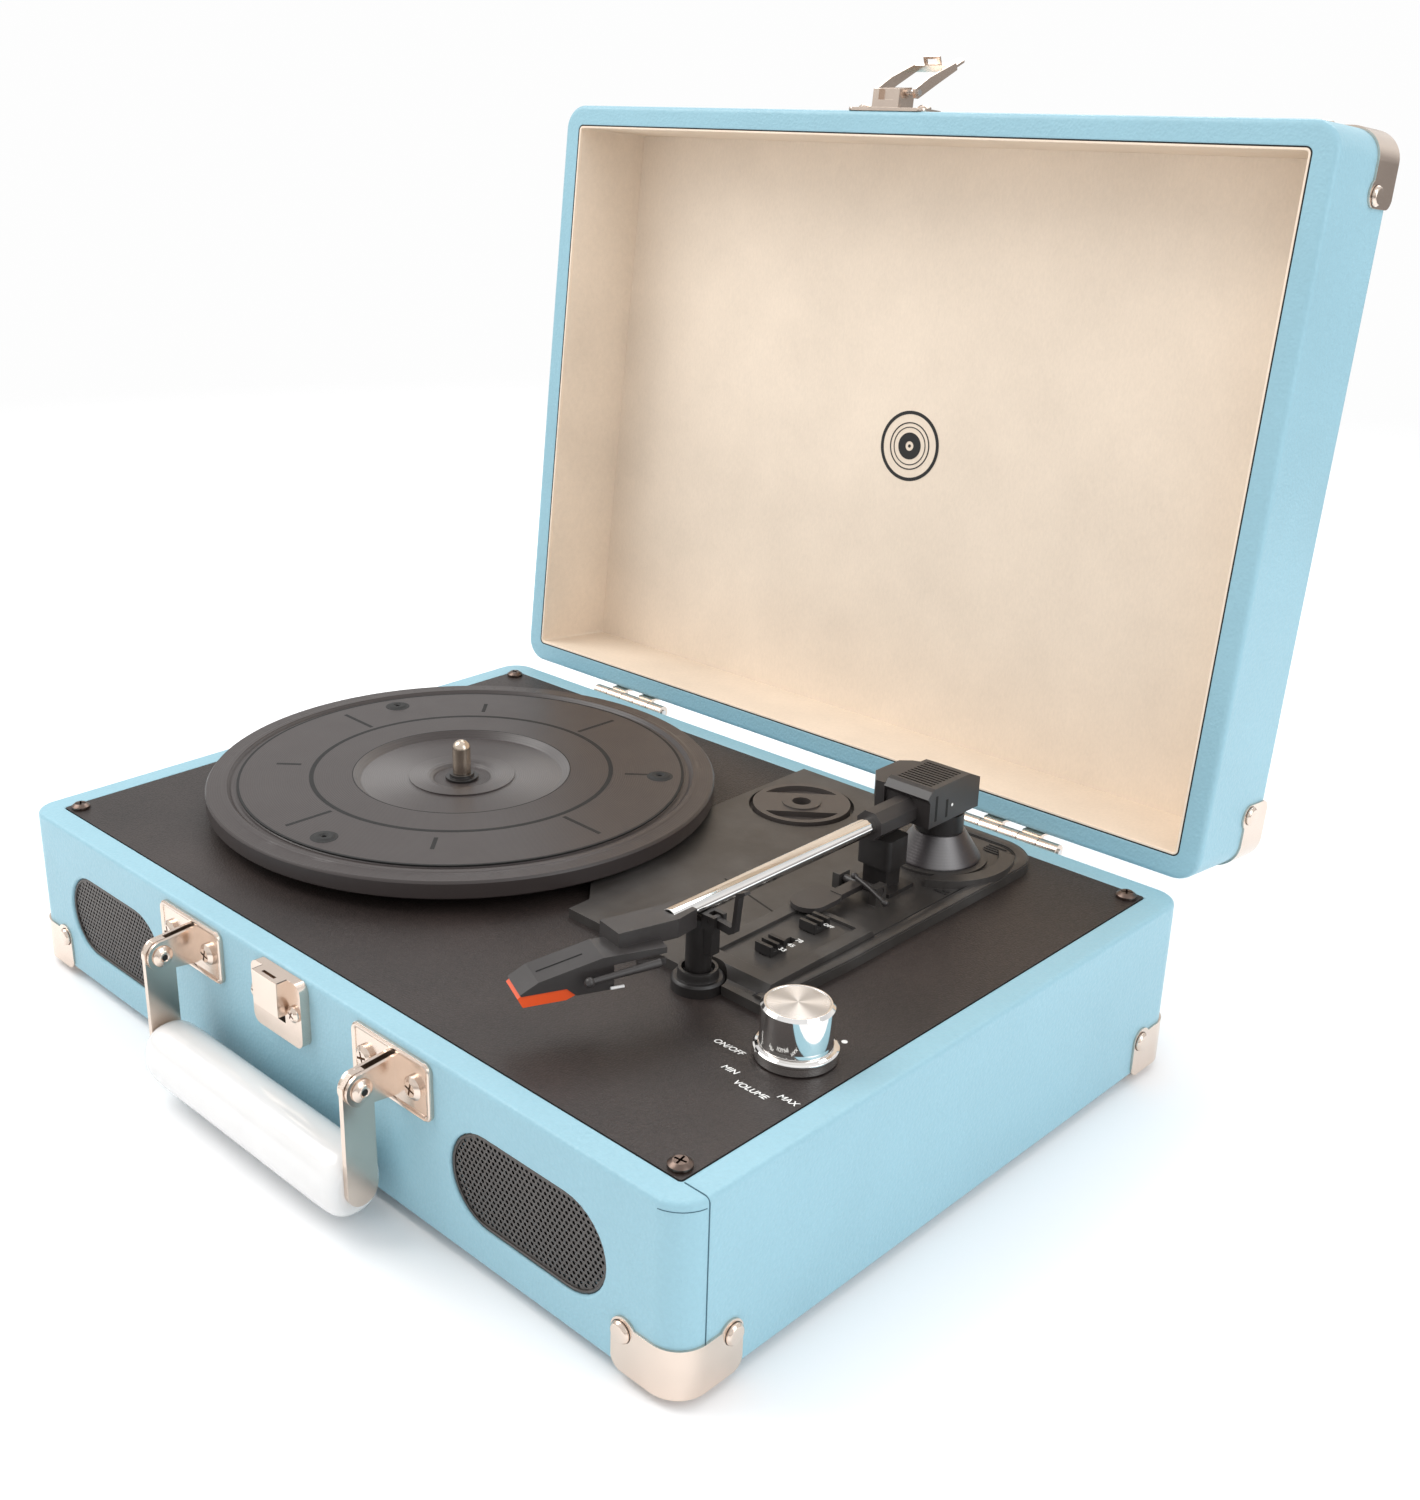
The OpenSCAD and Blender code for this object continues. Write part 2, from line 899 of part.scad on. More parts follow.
module platter_buttons() {
    color(black)
        translate([platter_x, platter_y, 0])
            for (a = button_at)
                rotate([0, 0, a])
                    translate([button_r, 0, platter_top])
                        rotate_extrude()
                            polygon([[1, -1.5], [3.5, -1.5], [3.5, -0.4], [4.8, -0.4], [4.8, 0],
                                [3.6, 0.4], [2, 0.4], [1, -0.2]]);
}

module platter_bearing() {
    color(steel)
        translate([platter_x, platter_y, 0])
            rotate_extrude()
                polygon([[spindle_r + run, 48], [6, 48], [6, base_h], [14, base_h],
                    [14, base_h + 1], [9, platter_top - 11 - run],
                    [spindle_r + run, platter_top - 11 - run]]);
}

// the shaft, with a groove for its clip and a domed end that centres the record
module spindle() {
    color(steel)
        translate([platter_x, platter_y, 0]) {
            translate([0, 0, 44])
                cylinder(r = 6, h = 3);
            translate([0, 0, 44])
                cylinder(r = spindle_r, h = hub_z - 44);
            translate([0, 0, hub_z - 1])
                cylinder(r = groove_r, h = 4);
            translate([0, 0, hub_z + 2.4])
                cylinder(r = spindle_r, h = spindle_end);
            translate([0, 0, hub_z + 2.4 + spindle_end])
                rotate_extrude()
                    intersection() {
                        circle(spindle_r);
                        square(spindle_r);
                    }
        }
}

module spindle_clip() {
    color(black)
        translate([platter_x, platter_y, hub_z + 0.06])
            difference() {
                union() {
                    cylinder(r = 6.6, h = 1);
                    cylinder(r = 4.9, h = 2.2);
                }
                translate([0, 0, -1])
                    cylinder(r = groove_r + 0.02, h = 5);
            }
}

module drive_motor() {
    color(steel)
        translate([motor_x, motor_y, 0])
            difference() {
                union() {
                    translate([0, 0, 26])
                        cylinder(r = 17, h = 28);
                    translate([0, 0, 54])
                        cylinder(r = 4.5, h = 2.5);
                    translate([0, 0, 55])
                        difference() {
                            cylinder(r = 24, h = 1.5);
                            translate([0, 0, -1])
                                cylinder(r = 14, h = 4);
                        }
                    for (a = [0:120:240])
                        rotate([0, 0, a])
                            translate([13, -3, 53.9])
                                cube([8, 6, 1.6]);
                }
                translate([0, 0, 40])
                    cylinder(r = 1.2 + run, h = 20);
            }
}

module motor_pulley() {
    color([0.8, 0.66, 0.3])
        translate([motor_x, motor_y, 0]) {
            translate([0, 0, 41])
                cylinder(r = 1.2, h = belt_z - 41);
            rotate_extrude()
                polygon([[0, belt_z - 1], [pulley_r + 1.4, belt_z - 1], [pulley_r, belt_z - 0.2],
                    [pulley_r, belt_z + belt_h + 0.2], [pulley_r + 1.2, belt_z + belt_h + 0.9],
                    [0, belt_z + belt_h + 0.9]]);
        }
}

// plan shape wrapped round the drum and the pulley, offset outwards by gap
module belt_shape(gap) {
    big = drum_r + gap;
    small = pulley_r + gap;
    turn = acos((big - small) / motor_gap);
    circle(big, $fn = 128);
    translate([motor_gap, 0])
        circle(small);
    polygon([[big * cos(turn), big * sin(turn)], [big * cos(turn), -big * sin(turn)],
        [motor_gap + small * cos(turn), -small * sin(turn)],
        [motor_gap + small * cos(turn), small * sin(turn)]]);
}

module drive_belt() {
    color(black)
        translate([platter_x, platter_y, belt_z])
            rotate([0, 0, motor_dir])
                difference() {
                    linear_extrude(belt_h)
                        belt_shape(run + belt_t);
                    translate([0, 0, -1])
                        linear_extrude(belt_h + 2)
                            belt_shape(run);
                }
}

// ---------- electronics ----------

module circuit_board() {
    color([0.1, 0.4, 0.2])
        translate([30, -20, 5.1]) {
            for (x = [4, 66], y = [4, 46])
                translate([x, y, 0])
                    cylinder(r = 2.5, h = 7);
            translate([0, 0, 6.9])
                cube([70, 50, 1.6]);
            for (i = [0:3])
                translate([14 + 11 * i, 12, 8])
                    cylinder(r = 4, h = 12);
            translate([10, 28, 8])
                cube([22, 4, 16]);
            translate([40, 26, 8])
                cube([18, 9, 4]);
        }
}

module volume_pot() {
    color(steel)
        translate([knob_x, knob_y, 0])
            difference() {
                union() {
                    translate([0, 0, 45])
                        cylinder(r = 8.5, h = 10);
                    translate([0, 0, 54.9])
                        cylinder(r = 3.5, h = base_h - 54.4);
                }
                translate([0, 0, 47])
                    cylinder(r = 3 + run, h = 30);
            }
}

module volume_knob() {
    color(steel)
        translate([knob_x, knob_y, 0]) {
            translate([0, 0, 48])
                cylinder(r = 3, h = base_h - 44);
            rotate_extrude()
                polygon([[0, base_h + 2.5], [9.6, base_h + 2.5], [9.6, base_h + 0.4], [12.9, base_h + 0.4],
                    [12.9, base_h + 1.6], [12.2, base_h + 2], [12.9, base_h + 3.6], [11.4, base_h + 4.8],
                    [11.1, base_h + 6], [11.1, knob_top - 0.6], [10.5, knob_top], [0, knob_top]]);
        }
}

module socket_plate() {
    color(black)
        difference() {
            translate([socket_x, 0, socket_z])
                along_y(back_y, 1.6)
                    round_rect(72, 32, 3);
            for (s = [-20, -4])
                translate([socket_x + s, back_y - 1, socket_z])
                    rotate([-90, 0, 0])
                        cylinder(r = 3.3, h = 4);
            translate([socket_x + 20, back_y - 1, socket_z])
                rotate([-90, 0, 0])
                    cylinder(r = 4.2, h = 4);
        }
}

module audio_sockets() {
    color(steel)
        for (s = [-20, -4])
            translate([socket_x + s, back_y, socket_z])
                rotate([-90, 0, 0])
                    rotate_extrude()
                        polygon([[1.6, -8], [3.2, -8], [3.2, 1.6], [5.5, 1.6], [5.5, 2.6], [4.15, 2.6],
                            [4.15, 10.4], [1.6, 10.4]]);
}

module power_socket() {
    color(black)
        translate([socket_x + 20, back_y, socket_z])
            rotate([-90, 0, 0])
                rotate_extrude()
                    polygon([[0, -11], [4.1, -11], [4.1, 1.6], [6, 1.6], [6, 2.8], [2.85, 2.8], [2.85, -6],
                        [1, -6], [1, 0], [0, 0.6]]);
}

// ---------- sliders and adapter ----------

module slider_knob(y) {
    translate([switch_x, y, recess_z + 0.2]) {
        translate([-3.4, -4, 0])
            cube([6.8, 8, 1.6]);
        for (s = [-4, -0.7, 2.6])
            translate([-3.4, s, 1.5])
                cube([6.8, 1.4, 2.1]);
        translate([-1.3, -2.5, -7])
            cube([2.6, 5, 7.1]);
    }
}

module speed_slider() {
    color(black)
        slider_knob(speed_y);
}

module autostop_slider() {
    color(black)
        slider_knob(autostop_y);
}

// a seven-inch record adapter lying in its recess: a ring, a hub and three spokes
module adapter_45() {
    color(black)
        translate([adapter_x, adapter_y, base_h + 1.1])
            rotate([0, 0, 40])
                difference() {
                    union() {
                        cylinder(r = adapter_r, h = 3.4);
                        cylinder(r = 7.5, h = 4);
                    }
                    translate([0, 0, 1.2])
                        difference() {
                            cylinder(r = adapter_r - 2.4, h = 5);
                            translate([0, 0, -1])
                                cylinder(r = 9, h = 8);
                            translate([-adapter_r, -9, -1])
                                cube([2 * adapter_r, 18, 8]);
                        }
                    translate([0, 0, -1])
                        cylinder(r = spindle_r + 0.05, h = 8);
                }
}

// ---------- tonearm ----------

// bearing yoke that turns on the base: a spigot, a collar, two upright cheeks and the pitch axle
module arm_yoke() {
    color(black)
        translate([arm_x, arm_y, arm_z]) {
            translate([0, 0, base_h + 2 - arm_z])
                cylinder(r = 3, h = arm_z - base_h - 10);
            translate([0, 0, -13.9])
                cylinder(r = 8.6, h = 7.1);
            for (s = [-1, 1])
                translate([s * 5.1 - 0.9, -3.5, -7])
                    cube([1.8, 7, 8.6]);
            rod_x(1.2, 16);
        }
}

// the counterweighted block that pitches on the yoke, with a ribbed cover and a socket for the tube
module pivot_block() {
    color(black)
        translate([arm_x, arm_y, arm_z])
            difference() {
                union() {
                    along_x(1, 19)
                        polygon([[-22.5, -4.5], [-22.5, 5.2], [-24, 7], [-21.8, 9.4], [-20, 10], [1, 10],
                            [7.5, 7], [7.5, -4.5]]);
                    translate([0, 0, -2])
                        linear_extrude(10)
                            polygon([[-8.4, -23.6], [-12, -24], [-17.5, -17], [-17.5, -3], [-14, 0.5],
                                [-8.4, 3]]);
                    translate([0, -22.4, 0])
                        rotate([90, 22.5, 0])
                            cylinder(r = 5.6, h = 20.6, $fn = 8);
                }
                for (i = [0:9])
                    translate([-6.6, -19 + 1.9 * i, 9])
                        cube([14.6, 0.9, 2]);
                translate([-6.4, -6, -6])
                    cube([12.8, 12, 8.6]);
                rod_x(1.2 + run, 18);
                translate([0, -30, 0])
                    rotate([90, 0, 0])
                        cylinder(r = tube_r + 0.02, h = 20);
            }
}

module tonearm_tube() {
    color(nickel)
        translate([arm_x, arm_y - 30, arm_z])
            rotate([90, 0, 0])
                difference() {
                    cylinder(r = tube_r, h = arm_y - 30 + 55);
                    translate([0, 0, -1])
                        cylinder(r = tube_r - 0.5, h = 140);
                }
}

// places children in the headshell's own frame: -Y runs forwards along the shell
module on_shell() {
    translate([arm_x + 2.9, shell_y, arm_z])
        rotate([0, 0, -shell_dir])
            children();
}

// black arm end: a bracket round the tube, and the offset shell that carries the cartridge
module headshell() {
    color(black)
        difference() {
            union() {
                translate([arm_x, 0, arm_z - 4.2])
                    linear_extrude(6.4)
                        polygon([[-4.4, -47], [4.4, -47], [5.2, -56], [-0.6, -76], [-11, -74], [-5, -52]]);
                on_shell()
                    along_x(0, 12.5)
                        polygon([[1, -2.5], [-19.4, -2.5], [-39.8, -7], [-45.6, -10.2], [-45.2, -10.8],
                            [-31, -10.8], [-28, -13.6], [-16, -13.6], [-16, -5.5], [1, -4.5]]);
            }
            translate([arm_x, -46, arm_z])
                rotate([90, 0, 0])
                    cylinder(r = tube_r + 0.02, h = 9);
        }
}

// thin arm with a ball end, for lifting the headshell by hand
module finger_lift() {
    color(black)
        on_shell()
            translate([6.3, 0, 0]) {
                along_x(0.8, 1.6)
                    polygon([[0, -5.2], [-9, -5.2], [-9, -7.2], [0, -7.2]]);
                translate([1.6, -2, -6.4])
                    rotate([94, 0, 4])
                        cylinder(r1 = 1.5, r2 = 0.9, h = 23);
                translate([3.2, -25, -8])
                    rotate_extrude()
                        intersection() {
                            circle(1.6);
                            translate([0, -2])
                                square([2, 4]);
                        }
            }
}

// replaceable stylus holder clipped under the front of the cartridge
module stylus() {
    color([0.9, 0.3, 0.15])
        on_shell() {
            along_x(0, 11.4)
                polygon([[-28.1, -13.65], [-31.1, -10.85], [-45.2, -10.85], [-46.2, -11.6],
                    [-44.6, -14.8], [-31, -14.8]]);
            translate([0, -42.5, -15])
                cylinder(r1 = 0.4, r2 = 0.8, h = 1);
        }
}

// ---------- cue lift ----------

// fixed guide block of the cue lift
module cue_lift_post() {
    color(black)
        translate([arm_x, arm_y - cue_r, plinth_z])
            difference() {
                union() {
                    translate([-9, -7.2, 0])
                        cube([18, 14.4, 1.4]);
                    translate([-5, -4, 0])
                        cube([10, 8, cue_top - cue_drop - 2.6 - plinth_z]);
                }
                translate([0, 0, 1])
                    cylinder(r = 2 + run, h = 30);
            }
}

// hollow cap with a centre rod, which carries the arm up and down
module cue_platform() {
    color(black)
        translate([arm_x, arm_y - cue_r, cue_top])
            union() {
                difference() {
                    translate([0, 0, -11])
                        linear_extrude(11)
                            round_rect(14, 12, 2);
                    translate([-5.4, -4.4, -12])
                        cube([10.8, 8.8, 10]);
                }
                translate([0, 0, -13.8])
                    cylinder(r = 2, h = 12.8);
            }
}

module cue_lever() {
    color(black)
        translate([arm_x, lever_y, lever_z]) {
            rod_x(1.5, 18.4);
            translate([-2.4, -13, -1])
                cube([4.8, 14.5, 2]);
            translate([-3, -20, -1])
                rotate([0, 0, 90])
                    linear_extrude(1.8)
                        stadium(20, 13);
        }
}

// ---------- drawing ----------

base_case();
bottom_panel();
rubber_feet();
corner_blocks();
deck_panel();
deck_screws();
base_corner_guards();
base_guard_rivets();
speaker_grilles();
speaker_drivers();
handle_brackets();
bracket_screws();
handle_rivets();
latch_keeper();
keeper_screws();
hinge_base_leaves();
hinge_pins();
hinge_base_screws();
plinth();
tonearm_base();
arm_rest_post();
cue_lift_post();
platter_bearing();
spindle();
spindle_clip();
drive_motor();
drive_belt();
circuit_board();
volume_pot();
socket_plate();
audio_sockets();
power_socket();
lid_shell();
lid_lining();
lid_corner_guards();
lid_guard_rivets();
hinge_lid_leaves();
hinge_lid_screws();
latch_base();
latch_screws();
latch_pin();
latch_hasp();
handle_arms();
handle_grip();
platter();
platter_buttons();
motor_pulley();
volume_knob();
speed_slider();
autostop_slider();
arm_yoke();
pivot_block();
tonearm_tube();
headshell();
finger_lift();
stylus();
arm_rest_clip();
cue_lever();
cue_platform();
adapter_45();
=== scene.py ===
"""Looks for a portable suitcase record player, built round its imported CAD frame.

Lengths in the builders are millimetres in the row frame; piece() turns them into metres.
Lid pieces are drawn on the shut lid and carried to the resting angle by LID.
"""

import json
import math

import bmesh
import bpy
from mathutils import Matrix, Vector


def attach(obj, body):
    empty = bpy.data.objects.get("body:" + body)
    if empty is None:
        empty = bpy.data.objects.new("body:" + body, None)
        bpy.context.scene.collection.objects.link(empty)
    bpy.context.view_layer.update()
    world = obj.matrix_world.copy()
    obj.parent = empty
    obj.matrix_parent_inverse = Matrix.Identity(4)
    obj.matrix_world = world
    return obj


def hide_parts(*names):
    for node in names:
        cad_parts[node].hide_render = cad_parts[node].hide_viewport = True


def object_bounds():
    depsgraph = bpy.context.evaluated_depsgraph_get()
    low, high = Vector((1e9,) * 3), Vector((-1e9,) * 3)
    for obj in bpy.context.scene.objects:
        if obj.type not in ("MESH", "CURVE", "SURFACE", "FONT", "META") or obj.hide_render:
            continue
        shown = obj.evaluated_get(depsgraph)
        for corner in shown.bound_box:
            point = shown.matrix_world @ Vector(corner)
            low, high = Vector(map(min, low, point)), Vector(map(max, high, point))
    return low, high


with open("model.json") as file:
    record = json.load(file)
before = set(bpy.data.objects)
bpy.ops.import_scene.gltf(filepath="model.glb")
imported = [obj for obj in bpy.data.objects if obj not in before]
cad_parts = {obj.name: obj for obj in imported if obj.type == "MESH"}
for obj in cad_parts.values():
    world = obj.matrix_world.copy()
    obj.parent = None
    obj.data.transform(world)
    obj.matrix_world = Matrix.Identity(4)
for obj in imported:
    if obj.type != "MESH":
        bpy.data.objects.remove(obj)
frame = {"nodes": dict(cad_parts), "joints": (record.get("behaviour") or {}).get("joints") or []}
cad_low, cad_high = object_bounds()

MM = 0.001
SAME_POINT = 1e-6        # metres: vertices of one CAD solid closer than this are one vertex
FILM = 0.03              # mm: how far printed or engraved marks stand off their surface
SCENE = bpy.context.scene
NODES = frame["nodes"]


# ---------- places read from the frame ----------

def joint(name):
    return next(j for j in frame["joints"] if j["name"] == name)


HINGE = Vector(joint("lid_hinge")["pos_m"])
LID_ANGLE = math.radians(joint("lid_hinge")["range_deg"][1])
LID = (Matrix.Translation(HINGE) @ Matrix.Rotation(-LID_ANGLE, 4, "X")
       @ Matrix.Translation(-HINGE))


def box_mm(node, place=None):
    """Low and high corner of a node in mm, in the frame that `place` carries into the row frame."""
    back = place.inverted() if place else Matrix.Identity(4)
    points = [back @ v.co for v in NODES[node].data.vertices]
    low = Vector([min(p[i] for p in points) for i in range(3)])
    high = Vector([max(p[i] for p in points) for i in range(3)])
    return low / MM, high / MM


def islands(node, place=None):
    """(low, high) in mm of every separate solid in a CAD node, sorted by place."""
    back = place.inverted() if place else Matrix.Identity(4)
    mesh = NODES[node].data
    key = [tuple(round(c / SAME_POINT) for c in v.co) for v in mesh.vertices]
    parent = {k: k for k in key}

    def root(k):
        while parent[k] != k:
            parent[k] = parent[parent[k]]
            k = parent[k]
        return k

    for polygon in mesh.polygons:
        first = root(key[polygon.vertices[0]])
        for v in polygon.vertices[1:]:
            parent[root(key[v])] = first
    groups = {}
    for k, v in zip(key, mesh.vertices):
        groups.setdefault(root(k), []).append(back @ v.co / MM)
    boxes = [(Vector([min(p[i] for p in g) for i in range(3)]),
              Vector([max(p[i] for p in g) for i in range(3)])) for g in groups.values()]
    return sorted(boxes, key=lambda b: tuple(round(c, 2) for c in b[0]))


# ---------- mesh helpers ----------

def rounded(points, closed=False, steps=4):
    """Rounds the corners of a 2-D line. A point may carry its own radius as a third number."""
    out = []
    for i, p in enumerate(points):
        b = Vector(p[:2])
        radius = p[2] if len(p) > 2 else 0
        end = not closed and i in (0, len(points) - 1)
        if end or radius <= 0:
            out.append((b.x, b.y))
            continue
        u = Vector(points[i - 1][:2]) - b
        v = Vector(points[(i + 1) % len(points)][:2]) - b
        reach = min(radius / math.tan(u.angle(v) / 2), 0.49 * u.length, 0.49 * v.length)
        start, stop = b + u.normalized() * reach, b + v.normalized() * reach
        for k in range(steps + 1):
            t = k / steps
            q = start * (1 - t) ** 2 + b * 2 * t * (1 - t) + stop * t * t
            out.append((q.x, q.y))
    return out


def round_rect(w, d, r, steps=10):
    """Points of a rectangle with round corners, centred on the origin."""
    points = []
    for k in range(4):
        cx = (w / 2 - r) * (1 if k in (0, 3) else -1)
        cy = (d / 2 - r) * (1 if k in (0, 1) else -1)
        for i in range(steps + 1):
            a = math.radians(90 * k + 90 * i / steps)
            points.append((cx + r * math.cos(a), cy + r * math.sin(a)))
    return points


def loft(loops, closed=False, caps=True):
    """Skin over loops of equally many points."""
    n, m = len(loops[0]), len(loops)
    verts = [p for loop in loops for p in loop]
    faces = []
    for i in range(m if closed else m - 1):
        a, b = i * n, (i + 1) % m * n
        faces += [(a + j, a + (j + 1) % n, b + (j + 1) % n, b + j) for j in range(n)]
    if caps and not closed:
        faces += [tuple(range(n))[::-1], tuple(range((m - 1) * n, m * n))]
    return verts, faces


def lathe(profile, sides=96, closed=False):
    """Turns a profile of (radius, height) about Z."""
    angles = [2 * math.pi * i / sides for i in range(sides)]
    return loft([[(r * math.cos(a), r * math.sin(a), z) for a in angles] for r, z in profile],
                closed=closed)


def prism(outline, z0, z1):
    """A straight solid on a plan outline."""
    return loft([[(x, y, z0) for x, y in outline], [(x, y, z1) for x, y in outline]])


def tube(path, radius, sides=10):
    """A round bar along a path."""
    path = [Vector(p) for p in path]
    side = Vector((0, 0, 1))
    loops = []
    for i, p in enumerate(path):
        along = (path[min(i + 1, len(path) - 1)] - path[max(i - 1, 0)]).normalized()
        if abs(along.dot(side)) > 0.95:
            side = Vector((1, 0, 0))
        u = (side - along * side.dot(along)).normalized()
        v = along.cross(u)
        loops.append([p + (u * math.cos(a) + v * math.sin(a)) * radius
                      for a in [2 * math.pi * k / sides for k in range(sides)]])
        side = u
    return loft(loops)


def sweep(path, section):
    """Skin of a cross-section (across, up) carried along a level path."""
    path = [Vector(p) for p in path]
    loops = []
    for i, p in enumerate(path):
        along = (path[min(i + 1, len(path) - 1)] - path[max(i - 1, 0)]).normalized()
        across = Vector((along.y, -along.x, 0))
        loops.append([p + across * a + Vector((0, 0, b)) for a, b in section])
    return loft(loops)


def merged(*parts):
    """Several (verts, faces) as one."""
    verts, faces = [], []
    for v, f in parts:
        shift = len(verts)
        verts += list(v)
        faces += [tuple(i + shift for i in face) for face in f]
    return verts, faces


def moved(part, matrix):
    return [matrix @ Vector(v) for v in part[0]], part[1]


def shift(x, y, z):
    return Matrix.Translation((x, y, z))


def turn(angle, axis):
    return Matrix.Rotation(math.radians(angle), 4, axis)


def weigh_normals(obj):
    """Keeps flat faces flat beside rounded edges."""
    modifier = obj.modifiers.new("even_shading", "WEIGHTED_NORMAL")
    modifier.keep_sharp = True
    modifier.weight = 50


def piece(name, part, material, body, place=None, replaces=(), sharp=40, edge=0, shade=True):
    """A mesh piece in mm that rides on a body. edge rounds its sharp edges by that much."""
    mesh = bpy.data.meshes.new(name)
    mesh.from_pydata([Vector(v) * MM for v in part[0]], [], part[1])
    if place:
        mesh.transform(place)
    bm = bmesh.new()
    bm.from_mesh(mesh)
    bmesh.ops.remove_doubles(bm, verts=bm.verts, dist=1e-7)
    bmesh.ops.recalc_face_normals(bm, faces=bm.faces)
    bm.to_mesh(mesh)
    bm.free()
    mesh.shade_smooth()
    mesh.set_sharp_from_angle(angle=math.radians(sharp))
    mesh.materials.append(PAINT[material])
    obj = bpy.data.objects.new(name, mesh)
    SCENE.collection.objects.link(obj)
    if edge:
        round_edges(obj, edge)
    if shade:
        weigh_normals(obj)
    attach(obj, body)
    if replaces:
        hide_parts(*replaces)
    return obj


def round_edges(obj, width, segments=2, angle=32):
    bevel = obj.modifiers.new("soft_edges", "BEVEL")
    bevel.width = width * MM
    bevel.segments = segments
    bevel.limit_method = "ANGLE"
    bevel.angle_limit = math.radians(angle)
    bevel.miter_outer = "MITER_ARC"


def carve(obj, cutters):
    """Cuts (verts, faces) solids out of a piece for good."""
    mesh = bpy.data.meshes.new("cutter")
    part = merged(*cutters)
    mesh.from_pydata([Vector(v) * MM for v in part[0]], [], part[1])
    bm = bmesh.new()
    bm.from_mesh(mesh)
    bmesh.ops.recalc_face_normals(bm, faces=bm.faces)
    bm.to_mesh(mesh)
    bm.free()
    cutter = bpy.data.objects.new("cutter", mesh)
    SCENE.collection.objects.link(cutter)
    kept = [m.name for m in obj.modifiers]
    for name in kept:
        obj.modifiers[name].show_viewport = False
    boolean = obj.modifiers.new("carve", "BOOLEAN")
    boolean.operation = "DIFFERENCE"
    boolean.solver = "EXACT"
    boolean.object = cutter
    bpy.context.view_layer.update()
    cut = bpy.data.meshes.new_from_object(obj.evaluated_get(bpy.context.evaluated_depsgraph_get()))
    obj.modifiers.remove(boolean)
    obj.data = cut
    cut.set_sharp_from_angle(angle=math.radians(40))
    for name in kept:
        obj.modifiers[name].show_viewport = True
    bpy.data.objects.remove(cutter)


# ---------- materials ----------

